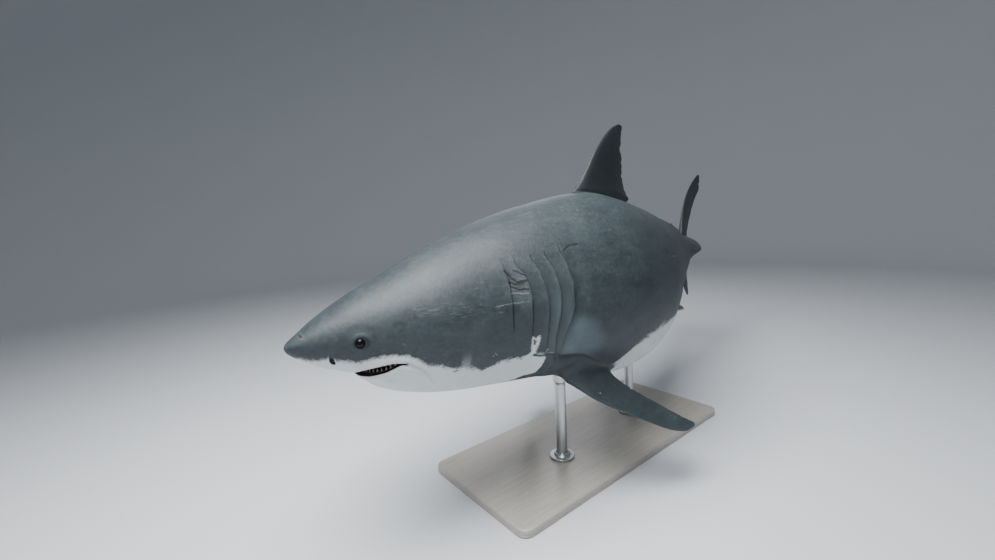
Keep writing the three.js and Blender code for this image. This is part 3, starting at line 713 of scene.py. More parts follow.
def nostril_cutter(sign):
    """A small ellipsoid laid along the snout's side, turned down at its rear."""
    turn = Matrix.Rotation(sign * 0.75, 4, "Z") @ Matrix.Rotation(1.0, 4, "Y")
    edge = sign * half_width_at(NOSTRIL["station"], NOSTRIL["up"])
    centre = body_point(NOSTRIL["station"], edge, NOSTRIL["up"])
    sizes = [NOSTRIL[k] * UNIT for k in ("length", "width", "depth")]
    return ball(centre, sizes, 16, 24, turn)


# ---------------------------------------------------------------- joining and smoothing


def joined(base, others):
    """The base mesh with each (object, operation) added or cut in turn, as a new mesh. Faces keep
    their object's material number, which says what part they came from."""
    for other, operation in others:
        modifier = base.modifiers.new(other.name, "BOOLEAN")
        modifier.object = other
        modifier.operation = operation
        modifier.solver = "MANIFOLD"
    bpy.context.view_layer.update()
    evaluated = base.evaluated_get(bpy.context.evaluated_depsgraph_get())
    mesh = bpy.data.meshes.new_from_object(evaluated)
    for thing in [base, *(other for other, _ in others)]:
        bpy.data.objects.remove(thing)
    return mesh


def without_folds(mesh):
    """Takes out the point of each fold: where only two faces meet at a point and both are cut into
    triangles with the same three corners, those two triangles lie flat on each other."""
    mesh.calc_loop_triangles()
    triangles = np.empty(len(mesh.loop_triangles) * 3, np.int64)
    mesh.loop_triangles.foreach_get("vertices", triangles)
    found, counts = np.unique(np.sort(triangles.reshape(-1, 3)), axis=0, return_counts=True)
    form = bmesh.new()
    form.from_mesh(mesh)
    form.verts.ensure_lookup_table()
    folded = [form.verts[k] for k in np.unique(found[counts > 1])]
    loose = [point for point in folded if len(point.link_edges) == 2]
    bmesh.ops.dissolve_verts(form, verts=loose)
    form.to_mesh(mesh)
    form.free()
    mesh.update()


def mesh_arrays(mesh):
    """Points and edges of a mesh."""
    points = np.empty(len(mesh.vertices) * 3)
    mesh.vertices.foreach_get("co", points)
    edges = np.empty(len(mesh.edges) * 2, np.int64)
    mesh.edges.foreach_get("vertices", edges)
    return points.reshape(-1, 3), edges.reshape(-1, 2)


def corner_arrays(mesh):
    """The point of each face corner, the material number of its face, and each face's number."""
    corners = np.empty(len(mesh.loops), np.int64)
    mesh.loops.foreach_get("vertex_index", corners)
    sizes = np.empty(len(mesh.polygons), np.int64)
    mesh.polygons.foreach_get("loop_total", sizes)
    parts = np.empty(len(mesh.polygons), np.int64)
    mesh.polygons.foreach_get("material_index", parts)
    return corners, np.repeat(parts, sizes), parts


def neighbour_mean(values, edges, count):
    """The mean over each point's neighbours."""
    total = np.zeros_like(values)
    for k in range(values.shape[1]):
        total[:, k] = np.bincount(edges[:, 0], values[edges[:, 1], k], len(values)) + np.bincount(
            edges[:, 1], values[edges[:, 0], k], len(values)
        )
    return total / count[:, None]


def relaxed(points, edges, seeds, reach, rounds):
    """Points near the seeds drawn smooth: the distance from the seeds is found over the edges, a
    weight falls from 1 to 0 within reach, and each round moves a point that share of half the way
    to the mean of its neighbours."""
    distance = np.where(seeds, 0.0, np.inf)
    length = np.linalg.norm(points[edges[:, 0]] - points[edges[:, 1]], axis=1)
    for _ in range(24):
        np.minimum.at(distance, edges[:, 0], distance[edges[:, 1]] + length)
        np.minimum.at(distance, edges[:, 1], distance[edges[:, 0]] + length)
    share = 1 - smoothstep(distance, 0.2 * reach, reach)
    count = np.maximum(np.bincount(edges.ravel(), minlength=len(points)), 1)
    moved = points.copy()
    for _ in range(rounds):
        moved += (neighbour_mean(moved, edges, count) - moved) * 0.5 * share[:, None]
    return moved


def neighbour_blur(values, edges, rounds):
    """Numbers on points drawn towards the mean of their neighbours."""
    count = np.maximum(np.bincount(edges.ravel(), minlength=len(values)), 1)
    held = values[:, None].astype(float)
    for _ in range(rounds):
        held = held * 0.5 + neighbour_mean(held, edges, count) * 0.5
    return held[:, 0]


# ---------------------------------------------------------------- materials


def overloaded(operation):
    """An operator and its reflected form. Each adds one Math node."""
    return (
        lambda value, other: value.math(operation, value, other),
        lambda value, other: value.math(operation, other, value),
    )


class Value:
    """A number or vector made by nodes. Arithmetic with it adds Math nodes."""

    __add__, __radd__ = overloaded("ADD")
    __sub__, __rsub__ = overloaded("SUBTRACT")
    __mul__, __rmul__ = overloaded("MULTIPLY")
    __truediv__, __rtruediv__ = overloaded("DIVIDE")

    def __init__(self, shader, socket):
        self.shader, self.socket = shader, socket

    def math(self, operation, *inputs, clamp=False):
        inputs = dict(enumerate(inputs))
        made = self.shader.node("Math", inputs, operation=operation, use_clamp=clamp)
        return Value(self.shader, made.outputs[0])

    def root(self):
        return self.math("SQRT", self)

    def max(self, other):
        return self.math("MAXIMUM", self, other)

    def clamped(self):
        return self.math("ADD", self, 0.0, clamp=True)

    def step(self, low, high):
        """0 below low, 1 above high, smooth between; with low over high it falls instead."""
        made = self.shader.node(
            "MapRange",
            {"Value": self, "From Min": low, "From Max": high, "To Min": 0.0, "To Max": 1.0},
            interpolation_type="SMOOTHSTEP",
        )
        return Value(self.shader, made.outputs["Result"])


class Shader:
    """A material and its node tree, with one method that makes any node."""

    def __init__(self, name):
        self.material = bpy.data.materials.new(name)
        self.material.use_nodes = True
        self.tree = self.material.node_tree
        self.tree.nodes.clear()

    def node(self, kind, inputs=None, **settings):
        """A node of one kind: its settings first, then a number or a link for each input."""
        made = self.tree.nodes.new("ShaderNode" + kind)
        for setting, value in settings.items():
            setattr(made, setting, value)
        for key, value in (inputs or {}).items():
            if isinstance(value, Value):
                self.tree.links.new(value.socket, made.inputs[key])
            else:
                made.inputs[key].default_value = value
        return made

    def attribute(self, name, vector=False):
        made = self.node("Attribute", attribute_type="GEOMETRY", attribute_name=name)
        return Value(self, made.outputs["Vector" if vector else "Fac"])

    def place(self):
        return Value(self, self.node("TexCoord").outputs["Object"])

    def parts(self, vector):
        made = self.node("SeparateXYZ", {0: vector})
        return [Value(self, made.outputs[n]) for n in range(3)]

    def stretched(self, vector, factors):
        """A vector times a factor for each of its three parts."""
        made = self.node("VectorMath", {0: vector, 1: factors}, operation="MULTIPLY")
        return Value(self, made.outputs[0])

    def noise(self, vector, scale, detail=3.0, roughness=0.55, distortion=0.0):
        """Noise from 0 to 1, spread so that most of that range is used."""
        made = self.node(
            "TexNoise",
            {
                "Vector": vector, "Scale": scale, "Detail": detail, "Roughness": roughness,
                "Distortion": distortion,
            },
        )  # fmt: skip
        return ((Value(self, made.outputs["Fac"]) - 0.5) * 1.7 + 0.5).clamped()

    def cells(self, vector, scale, randomness):
        """Distance from the nearest of many scattered dots."""
        inputs = {"Vector": vector, "Scale": scale, "Randomness": randomness}
        made = self.node("TexVoronoi", inputs, feature="F1")
        return Value(self, made.outputs["Distance"])

    def mix(self, factor, a, b):
        """Colour a where factor is 0 and colour b where it is 1."""
        inputs = {0: factor}
        for key, colour in ((6, a), (7, b)):
            inputs[key] = colour if isinstance(colour, Value) else (*colour[:3], 1.0)
        made = self.node("Mix", inputs, data_type="RGBA")
        return Value(self, made.outputs[2])

    def layered(self, colour, *layers):
        """A colour with each (mask, colour) of the layers painted over it in turn."""
        for factor, over in layers:
            colour = self.mix(factor, colour, over)
        return colour

    def bump(self, height, strength, distance, normal=None):
        inputs = {"Height": height, "Strength": strength, "Distance": distance}
        if normal is not None:
            inputs["Normal"] = normal
        return Value(self, self.node("Bump", inputs).outputs[0])

    def finish(self, **inputs):
        """The Principled shader with these inputs, joined to the output."""
        keys = {key.replace("_", " ").title().replace("Ior", "IOR"): v for key, v in inputs.items()}
        made = self.node("BsdfPrincipled", keys)
        output = self.node("OutputMaterial")
        self.tree.links.new(made.outputs[0], output.inputs[0])
        return self.material


def widest(marks):
    """The largest of several masks."""
    found = marks[0]
    for mark in marks[1:]:
        found = found.max(mark)
    return found


def stroke(x, z, start, end, width, wobble):
    """1 along a straight stroke on the side of the body and 0 beyond its width: one less the
    distance from the nearest point of the stroke over the width. Ends are in station and height."""
    ax, az = start
    dx, dz = end[0] - ax, end[1] - az
    away_x, away_z = x - ax + wobble, z - az + wobble * 0.7
    along = ((away_x * dx + away_z * dz) / (dx * dx + dz * dz)).clamped()
    gap_x, gap_z = away_x - along * dx, away_z - along * dz
    return (gap_x * gap_x + gap_z * gap_z).root().step(width, width * 0.25)


def oval(x, z, centre, size, tilt=0.0):
    """The squared distance from an oval's middle, in half-sizes of the oval: 1 on its rim. Tilt
    shears it by so much height for each station."""
    away_x, away_z = x - centre[0], z - centre[1]
    if tilt:
        away_z = away_z + away_x * tilt
    away_x, away_z = away_x / size[0], away_z / size[1]
    return away_x * away_x + away_z * away_z


def times(colour, factor, more=0.0):
    """A colour made darker or lighter by a factor, plus a little grey."""
    return tuple(factor * part + more for part in colour)


# Marks on the left side: start, end and width, in station and height.
SCRATCHES = [
    [(17.2, 1.22), (18.8, 1.34), 0.09],
    [(18.8, 1.34), (20.45, 1.29), 0.07],
    [(19.0, 2.26), (20.6, 2.1), 0.09],
    [(41.5, 3.4), (45.2, 2.9), 0.06],
    [(52.0, 2.2), (54.4, 3.0), 0.05],
]
# A torn white tongue climbs from the border before the pectoral fin, with a dark hole in it, and a
# flap of dark skin lies across its foot.
WHITE_TONGUE = [
    [(20.98, -2.5), (21.02, -3.25), 0.3],
    [(21.56, -2.45), (21.5, -3.3), 0.27],
    [(21.05, -2.62), (21.5, -2.72), 0.24],
    [(21.1, -3.35), (21.36, -3.55), 0.42],
    [(21.2, -3.5), (21.28, -4.4), 0.42],
    [(21.0, -4.1), (20.5, -4.6), 0.3],
    [(22.75, -4.1), (22.72, -4.2), 0.12],
]
# A pale haze rises over the border behind the mouth, with a short dark nick in front of its foot.
HAZE = [[(14.25, -4.8), (14.35, -1.6), 0.75]]
DARK_NICK = [[(13.25, -4.56), (13.6, -4.5), 0.1]]
DARK_HOLE = [[(21.14, -2.72), (21.24, -3.1), 0.2]]
DARK_FLAP = [[(21.45, -4.42), (22.2, -4.66), 0.2], [(22.2, -4.66), (23.8, -4.84), 0.17]]
# The upper edge of that flap is painted paler, a painted highlight.
FLAP_EDGE = [[(21.3, -4.16), (22.6, -4.4), 0.1], [(22.6, -4.4), (23.7, -4.58), 0.1]]
# Cracks are chains of strokes: their width and points.
CRACKS = [
    (0.16, [(18.9, 4.37), (19.35, 3.62), (19.85, 3.17), (20.7, 3.28)]),
    (0.16, [(19.0, 3.28), (19.65, 3.0), (20.25, 3.07), (20.75, 3.28)]),
    (0.13, [(19.75, 4.31), (20.4, 3.91), (20.8, 3.67)]),
    (0.12, [(19.15, 2.79), (19.9, 2.5), (20.65, 2.5)]),
    (0.1, [(25.9, 5.71), (26.6, 6.1), (27.75, 6.23)]),
]


def skin_material(settings):
    """Slate back over a white belly, with a ragged border, mottling, scars, pores and denticles."""
    s = Shader("shark skin")
    straight = s.attribute("straight", vector=True)
    line, groove = s.attribute("line"), s.attribute("groove")
    fin_share, tip, under_crease = s.attribute("fin"), s.attribute("tip"), s.attribute("crease")
    along, left, height = s.parts(straight)
    x, z = along / UNIT, height / UNIT
    on_left = left.step(0.0, 0.02)

    def drawn(marks, wobble):
        """A mask of strokes on the left side."""
        return widest([stroke(x, z, *mark, wobble) for mark in marks]) * on_left

    broad = s.noise(straight, 2.6, 3.0)
    patch = s.noise(s.stretched(straight, (0.7, 1, 1.2)), 9.0, 4.0, 0.6, 0.4)
    speck = s.noise(straight, 55.0, 4.0, 0.65)
    grain = s.noise(straight, 420.0, 2.0)
    drag = s.noise(s.stretched(straight, (0.35, 1, 2.2)), 24.0, 3.0, 0.6)

    # The border wanders little on the head and is torn into tongues and islands behind the gills.
    torn = x.step(9.0, 20.0) * 0.75 + 0.25
    torn = torn * (1 - x.step(32.5, 33.8) * x.step(37.5, 36.0) * 0.7)
    wander = s.noise(straight, 5.0, 2.0) - 0.5
    tongue = s.noise(s.stretched(straight, (0.8, 1, 1.3)), 17.0, 4.0, 0.6, 0.8) - 0.5
    fringe = s.noise(straight, 70.0, 3.0, 0.6) - 0.5
    border = line + (wander * 0.5 + tongue * 0.9) * torn * settings.raggedness + fringe * 0.42
    border = border * (1 - x.step(34.0, 39.0) * 0.45)
    frayed = (s.noise(straight, 95.0, 3.0, 0.65) - 0.5) * 0.3
    neat = frayed * 0.4
    dark = border.step(-0.24, 0.3) * (1 - drawn(WHITE_TONGUE, frayed))
    dark = widest([dark, drawn(DARK_HOLE, frayed), drawn([*DARK_FLAP, *DARK_NICK], neat)])
    # Pale flecks over the border and dark ones under it.
    fleck = s.noise(straight, 48.0, 3.0, 0.6, 0.8).step(0.76, 0.86)
    fleck = fleck * s.noise(straight, 8.0).step(0.45, 0.7)
    near = border.step(2.2, 0.3) * border.step(-2.4, -0.3) * torn
    dark = (dark * (1 - fleck * near * dark) + fleck * near * (1 - dark) * 0.8).clamped()

    # On the dark skin: painted shade on the fins over the back, gill flaps, the pale blotch behind
    # them, the pectoral fin's root with painted shade just under its crease, a haze behind the
    # mouth, the painted highlight on a flap's edge and the rim of the eye.
    flaps = x.step(22.3, 22.9) * x.step(25.6, 24.9) * z.step(3.2, 0.2) * z.step(-5.2, -4.0)
    blotch = oval(x, z, (26.6, -3.6), (4.0, 2.9), 0.3).step(1.25, 0.0) * (1 - fin_share)
    blotch = blotch * x.step(24.5, 25.3) * under_crease.step(0.06, -0.1)
    lobe = under_crease.step(-0.04, 0.06) * x.step(24.0, 25.5) * x.step(36.0, 35.0)
    haze = drawn(HAZE, frayed) * z.step(-1.8, -4.7)
    rim = oval(x, z, (EYE["station"], EYE["up"]), (0.78, 0.62)).step(1.1, 0.45)
    slate = s.layered(
        s.mix(z.step(5.0, -1.0) * 0.6 + broad * 0.4, settings.back_colour, settings.flank_colour),
        (patch.step(0.5, 0.9) * 0.36, (0.058, 0.075, 0.078)),
        (patch.step(0.5, 0.12) * 0.5, (0.011, 0.017, 0.02)),
        (drag.step(0.55, 0.95) * 0.25, (0.066, 0.08, 0.08)),
        (speck.step(0.52, 0.2) * 0.3, (0.009, 0.013, 0.016)),
        (speck.step(0.6, 0.85) * 0.2, (0.095, 0.112, 0.11)),
        # Painted shade: the fins over the back are darker, the first dorsal fin's upper part
        # darkest.
        (fin_share * z.step(-2.0, 4.0) * 0.45, (0.01, 0.016, 0.019)),
        (fin_share * z.step(9.5, 15.0) * x.step(60.0, 54.0) * 0.75, (0.007, 0.01, 0.012)),
        (flaps * 0.4, (0.07, 0.092, 0.105)),
        (blotch * (0.4 + patch * 0.4), (0.115, 0.155, 0.18)),
        (lobe * 0.25, (0.012, 0.017, 0.02)),
        # Painted shade: the lobe is nearly black just under the crease over it.
        (lobe * under_crease.step(0.6, 0.1) * 0.8, (0.005, 0.007, 0.008)),
        # Painted highlight along the flap's upper edge.
        (drawn(FLAP_EDGE, neat) * 0.6, (0.2, 0.24, 0.24)),
        (haze * haze * 0.75, (0.3, 0.34, 0.35)),
        (rim * 0.8, (0.008, 0.01, 0.012)),
    )
    white = s.layered(
        settings.belly_colour,
        (broad.step(0.35, 0.85) * 0.35, (0.5, 0.52, 0.49)),
        (patch.step(0.62, 0.95) * 0.4, (0.36, 0.38, 0.36)),
        (speck.step(0.64, 0.9) * 0.3, (0.3, 0.31, 0.3)),
        # Painted shade: the belly greys towards its underside.
        (z.step(-8.5, -12.5) * 0.3, (0.42, 0.43, 0.4)),
    )

    # Old scars are pale lines, and cracks are dark ones, most of them in a wrinkled patch that is
    # painted paler as painted light.
    # Fine lengthwise wrinkles lie behind the eye, and a dark dot in a pale ring on the snout.
    # Sensory pores stand in loose rows on the snout. Folds are darkened with painted shade.
    wobble = (s.noise(straight, 30.0, 2.0) - 0.5) * 0.22
    scars = drawn(SCRATCHES, wobble) * speck.step(0.2, 0.55)
    pieces = [(*pair, width) for width, points in CRACKS for pair in zip(points, points[1:])]
    crack = drawn(pieces, wobble * 0.6)
    wrinkled_lit_patch = oval(x, z, (19.85, 2.75), (1.05, 2.0)).step(1.4, 0.1) * x.step(20.9, 20.5) * on_left
    wrinkle = s.noise(s.stretched(straight, (0.7, 1, 2.6)), 60.0, 3.0, 0.6, 1.0).step(0.45, 0.75)
    lined = oval(x, z, (14.0, 1.2), (4.9, 0.95), 0.12).step(1.2, 0.3)
    ripple = s.noise(s.stretched(straight, (0.22, 1, 2.4)), 62.0, 3.0, 0.55, 0.7)
    from_dot = oval(x, z, (1.3, 0.31), (1, 1)).root()
    pore = s.cells(straight, 95.0, 0.85).step(0.22, 0.12)
    pore = pore * x.step(6.5, 4.0) * s.noise(straight, 14.0).step(0.35, 0.6) * (1 - fin_share)
    colour = s.layered(
        s.mix(dark, white, slate),
        (tip, (0.012, 0.014, 0.016)),
        (scars * 0.5, (0.2, 0.225, 0.22)),
        # Painted light: the wrinkled patch is paler, most of all on its wrinkles.
        (wrinkled_lit_patch * (wrinkle * 0.25 + 0.12) * dark, (0.11, 0.135, 0.138)),
        # Painted light and shade: wrinkles behind the eye are lighter on ridges, darker in hollows.
        (lined * ripple.step(0.55, 0.8) * 0.45, (0.1, 0.118, 0.115)),
        (lined * ripple.step(0.42, 0.2) * 0.5, (0.01, 0.013, 0.014)),
        (crack * 0.95, (0.008, 0.01, 0.011)),
        # Painted shade in the folds, round the gill slits, along the furrow and in the throat's
        # crease.
        (groove.step(0.03, 0.3) * 0.72, (0.01, 0.011, 0.012)),
        (from_dot.step(0.3, 0.14) * on_left * 0.18, (0.2, 0.23, 0.23)),
        (from_dot.step(0.16, 0.09) * on_left * 0.9, (0.008, 0.01, 0.011)),
        (pore * 0.65, (0.02, 0.022, 0.024)),
    )

    roughness = 0.44 + speck * 0.16 + (1 - dark) * 0.05 + groove.step(0.05, 0.3) * 0.2
    creases = s.noise(s.stretched(straight, (3.0, 1, 0.9)), 34.0, 3.0, 0.6, 0.9)
    coarse = s.bump(creases * (1 - fin_share) + drag * fin_share, 0.16, 0.004)
    marks = wrinkle * wrinkled_lit_patch - crack * 0.9 - scars * 0.5 - pore * 0.8 + ripple * lined
    middle = s.bump(speck * 0.6 + marks, 0.3, 0.0025, coarse)
    normal = s.bump(grain, 0.18, 0.0006, middle)
    return s.finish(base_color=colour, roughness=roughness, normal=normal, specular_ior_level=0.4)


def shaded_lining_material(settings):
    """The skin inside the mouth, nostrils and eye sockets, made nearly black as painted shade."""
    s = Shader("shaded mouth lining")
    place = s.place()
    blotch, fine = s.noise(place, 22.0, 3.0), s.noise(place, 160.0, 3.0)
    gums = settings.gum_colour
    # Painted shade: the lining is a small share of the gums' colour.
    colour = s.mix(blotch, times(gums, 0.06, 0.012), times(gums, 0.16, 0.02))
    colour = s.mix(fine.step(0.5, 0.8) * 0.4, colour, (0.01, 0.01, 0.011))
    return s.finish(
        base_color=colour, roughness=0.38 + fine * 0.2, normal=s.bump(fine, 0.25, 0.0015),
        specular_ior_level=0.45,
    )  # fmt: skip


def gum_material(settings):
    """Wet gums, paler where the teeth stand in them."""
    s = Shader("gums")
    place = s.place()
    blotch, fine = s.noise(place, 40.0, 3.0), s.noise(place, 220.0, 3.0)
    colour = s.mix(blotch * 0.7, settings.gum_colour, times(settings.gum_colour, 0.5))
    colour = s.mix(fine.step(0.55, 0.9) * 0.35, colour, (0.2, 0.15, 0.14))
    return s.finish(
        base_color=colour, roughness=0.28 + fine * 0.18, normal=s.bump(fine, 0.2, 0.001)
    )


def enamel_material(settings):
    """Ivory at the root, whiter and harder at the point."""
    s = Shader("tooth enamel")
    point = s.attribute("point")
    fine = s.noise(s.place(), 260.0, 3.0)
    enamel = settings.enamel_colour
    ivory = tuple(part * share for part, share in zip(enamel, (0.72, 0.6, 0.45)))
    colour = s.mix(point.step(0.0, 0.55), ivory, enamel)
    colour = s.mix(fine.step(0.6, 0.9) * 0.2, colour, (0.5, 0.44, 0.34))
    return s.finish(
        base_color=colour, roughness=0.2 + fine * 0.12, normal=s.bump(fine, 0.12, 0.0004),
        coat_weight=0.25, coat_roughness=0.1,
    )  # fmt: skip


def eye_material(settings):
    """A black pupil in a very dark blue iris with fine spokes, under a clear coat."""
    s = Shader("eye")
    turn = s.attribute("turn")
    spokes = s.noise(s.place(), 420.0, 3.0, 0.6)
    ring = turn.step(0.5, 0.56) * turn.step(0.84, 0.76)
    colour = s.mix(ring * (0.5 + spokes * 0.5), (0.003, 0.003, 0.004), settings.iris_colour)
    colour = s.mix(turn.step(0.95, 1.1) * 0.5, colour, (0.012, 0.013, 0.014))
    return s.finish(
        base_color=colour, roughness=0.12 + spokes * 0.05, normal=s.bump(spokes, 0.03, 0.0002),
        specular_ior_level=0.1, coat_weight=0.14, coat_roughness=0.03,
    )  # fmt: skip


def lacquer_material(settings):
    """Clear satin lacquer over pale limed ash with an open grain."""
    s = Shader("limed ash")
    place = s.place()
    grain = s.noise(s.stretched(place, (0.7, 14, 6)), 6.0, 5.0, 0.6, 0.5)
    pores = s.noise(s.stretched(place, (3, 70, 30)), 6.0, 3.0, 0.6)
    dust = s.noise(place, 3.0, 2.0)
    base, open_pores = settings.base_colour, pores.step(0.62, 0.85)
    colour = s.mix(grain, times(base, 0.8), times(base, 1.12))
    colour = s.mix(open_pores * 0.4, colour, times(base, 0.5))
    height = grain * 0.4 - open_pores
    return s.finish(
        base_color=colour, roughness=0.3 + dust * 0.14, normal=s.bump(height, 0.12, 0.0008),
        coat_weight=0.3, coat_roughness=0.18,
    )  # fmt: skip


def steel_material(settings):
    """Round-brushed stainless steel."""
    s = Shader("brushed steel")
    place = s.place()
    lines = s.noise(s.stretched(place, (1.5, 1.5, 260)), 5.0, 3.0, 0.6)
    smear = s.noise(place, 9.0, 3.0)
    steel = settings.steel_colour
    colour = s.mix(lines * 0.6 + smear * 0.3, times(steel, 0.72), steel)
    return s.finish(
        base_color=colour, roughness=0.24 + lines * 0.16 + smear * 0.06, metallic=1.0,
        normal=s.bump(lines, 0.08, 0.0003),
    )  # fmt: skip


def floor_material(settings):
    """A plain pale painted floor and wall with a very faint unevenness."""
    s = Shader("studio floor")
    cloud = s.noise(s.place(), 0.6, 3.0)
    colour = s.mix(cloud * 0.5, settings.floor_colour, times(settings.floor_colour, 0.96))
    return s.finish(base_color=colour, roughness=0.85 + cloud * 0.08, specular_ior_level=0.15)


# ---------------------------------------------------------------- settings


def sized(name, description, default, low, high):
    """A length in metres that a user may change."""
    return FloatProperty(
        name=name, description=description, default=default, min=low, max=high,
        subtype="DISTANCE", unit="LENGTH",
    )  # fmt: skip


def coloured(name, description, default):
    """A colour, in linear light, that a user may change."""
    return FloatVectorProperty(
        name=name, description=description, default=default, size=3, min=0, max=1, subtype="COLOR"
    )


class SharkSkinSettings(bpy.types.PropertyGroup):
    """Fineness and colours of the skin."""

    around: IntProperty(
        name="Points Around", description="Points round each ring of the body", default=184,
        min=48, max=240,
    )  # fmt: skip
    root_blend: sized(
        "Root Blend", "How far the body's skin flows into a large fin's root", 0.078, 0.01, 0.2
    )
    lip_blend: sized("Lip Blend", "How far the lips and slit edges are rounded", 0.007, 0.001, 0.02)
    raggedness: FloatProperty(
        name="Border Raggedness", description="How far the border between back and belly is torn",
        default=1.0, min=0, max=3, subtype="FACTOR",
    )  # fmt: skip
    back_colour: coloured("Back", "Colour along the back", (0.027, 0.037, 0.042))
    flank_colour: coloured("Flank", "Colour of the flank over the border", (0.03, 0.043, 0.05))
    belly_colour: coloured("Belly", "Colour of the belly", (0.6, 0.635, 0.64))
    gum_colour: coloured(
        "Gums", "Colour of the gums, and of the lining in shade", (0.12, 0.075, 0.07)
    )


class SharkEyeSettings(bpy.types.PropertyGroup):
    """Size and colour of the eyes."""

    radius: sized("Radius", "Radius of the eyeball", EYE["radius"] * UNIT, 0.01, 0.03)
    iris_colour: coloured("Iris", "Colour of the iris", (0.003, 0.005, 0.007))


class SharkTeethSettings(bpy.types.PropertyGroup):
    """Counts and colour of the teeth."""

    upper_count: IntProperty(
        name="Upper Teeth", description="Teeth in the upper row", default=22, min=8, max=30
    )
    lower_count: IntProperty(
        name="Lower Teeth", description="Teeth in the lower row", default=20, min=8, max=30
    )
    enamel_colour: coloured("Enamel", "Colour of the points of the teeth", (0.6, 0.57, 0.5))
    gum_colour: coloured("Gums", "Colour of the gums", (0.13, 0.078, 0.072))


class SharkStandSettings(bpy.types.PropertyGroup):
    """Sizes and finishes of the stand."""

    corner: sized("Corner Radius", "Radius of the base's corners in plan", 0.06, 0.01, 0.3)
    bevel: sized("Edge Rounding", "Rounding of the base's upper edge", 0.008, 0.001, 0.02)
    flange_radius: sized("Flange Radius", "Radius of the flange under a rod", 0.075, 0.04, 0.15)
    base_colour: coloured("Base", "Colour of the lacquered base", (0.4, 0.375, 0.34))
    steel_colour: coloured("Steel", "Colour of the rods", (0.6, 0.61, 0.62))


class SharkStageSettings(bpy.types.PropertyGroup):
    """Floor, light and lens of the studio."""

    floor_colour: coloured("Floor", "Colour of the floor and wall", (0.6, 0.63, 0.67))
    key_power: FloatProperty(
        name="Key Light", description="Power of the lamp overhead", default=600, min=0, max=5000,
        unit="POWER",
    )  # fmt: skip
    fill_power: FloatProperty(
        name="Fill Light", description="Power of the lamp beside the camera", default=34, min=0,
        max=5000, unit="POWER",
    )  # fmt: skip
    lens: FloatProperty(
        name="Lens", description="Focal length", default=16.0, min=8, max=200,
        subtype="DISTANCE_CAMERA", unit="CAMERA",
    )  # fmt: skip


# ---------------------------------------------------------------- pieces


def store(mesh, name, values, kind="FLOAT"):
    """One number or vector for each point of the mesh, under a name that materials read."""
    held = mesh.attributes.new(name, kind, "POINT")
    held.data.foreach_set("value" if kind == "FLOAT" else "vector", np.ravel(values).astype("f"))


def normals_of(mesh):
    """The outward direction at each point."""
    found = np.empty(len(mesh.vertices) * 3, np.float32)
    mesh.vertex_normals.foreach_get("vector", found)
    return found.reshape(-1, 3)


def skin_operands():
    """Name, part, surface and operation of everything joined to the body or cut out of it."""
    operands = [(name, part, surface, "UNION") for name, part, surface in fins()]
    operands.append(("mouth", LINING, mouth_cutter(), "DIFFERENCE"))
    for side, sign in SIDES:
        socket = ball(eye_centre(sign), [EYE["radius"] * UNIT + 0.001] * 3)
        operands.append((f"socket_{side}", LINING, socket, "DIFFERENCE"))
        operands.append((f"nostril_{side}", NOSE, nostril_cutter(sign), "DIFFERENCE"))
    return operands


def flowing(points, edges, operands, touched, settings):
    """Points drawn smooth along the joins of the body with each group of operands."""
    small = ("second_dorsal", "anal", "pelvic_left", "pelvic_right")
    for names, reach, rounds in (
        (("pectoral_left", "pectoral_right"), settings.root_blend, 44),
        (("first_dorsal", "upper_tail", "lower_tail"), 0.6 * settings.root_blend, 12),
        (small, 0.3 * settings.root_blend, 14),
        ([n for n, p, _, _ in operands if p in (LINING, NOSE)], settings.lip_blend, 5),
    ):  # fmt: skip
        wanted = [k + 1 for k, operand in enumerate(operands) if operand[0] in names]
        seams = touched([0]) & touched(wanted)
        if not seams.any():
            raise RuntimeError(f"no join was found for {', '.join(names)}")
        points = relaxed(points, edges, seams, reach, rounds)
    return points


def fold_shade_of(station, up, angle, depth, on_body):
    """The painted shade of the folds at each point: between the gills its depth under the skin,
    relief and all, or a slit's shade, and elsewhere bell curves along the furrow and the throat's
    crease."""
    degrees = np.degrees(angle)
    groove = np.maximum(np.clip(depth + relief(station, angle), 0, 1), slit_shade(station, degrees))
    groove *= on_body & (station > 17.5) & (station < 29)
    furrow = bell(up - lip_at(station), -0.02, 0.11) * smoothstep(station, 8.6, 9.4)
    groove = np.maximum(groove, 0.1 * furrow * (1 - smoothstep(station, 10.2, 12)) * on_body)
    fold = bell(up, throat_crease_at(station) - 0.12, 0.09) * (station > 21) * (station < 23.9)
    return np.maximum(groove, 0.2 * fold * on_body)


def border_of(station, up, degrees, under_lobe):
    """Height over the border between dark back and pale belly, with the dark wedge under the throat
    and the dark root of the pectoral fin."""
    line = up - colour_line_at(station)
    wedge = np.minimum(wedge_at(station) - up, (166 - degrees) / 9)
    line = np.where((station > 17) & (station < 28), np.maximum(line, wedge), line)
    lobe = np.minimum(np.minimum(under_lobe, ROOT_END - station), (153 - degrees) / 9)
    return np.where((station > 23) & (station < 37), np.maximum(line, lobe), line)


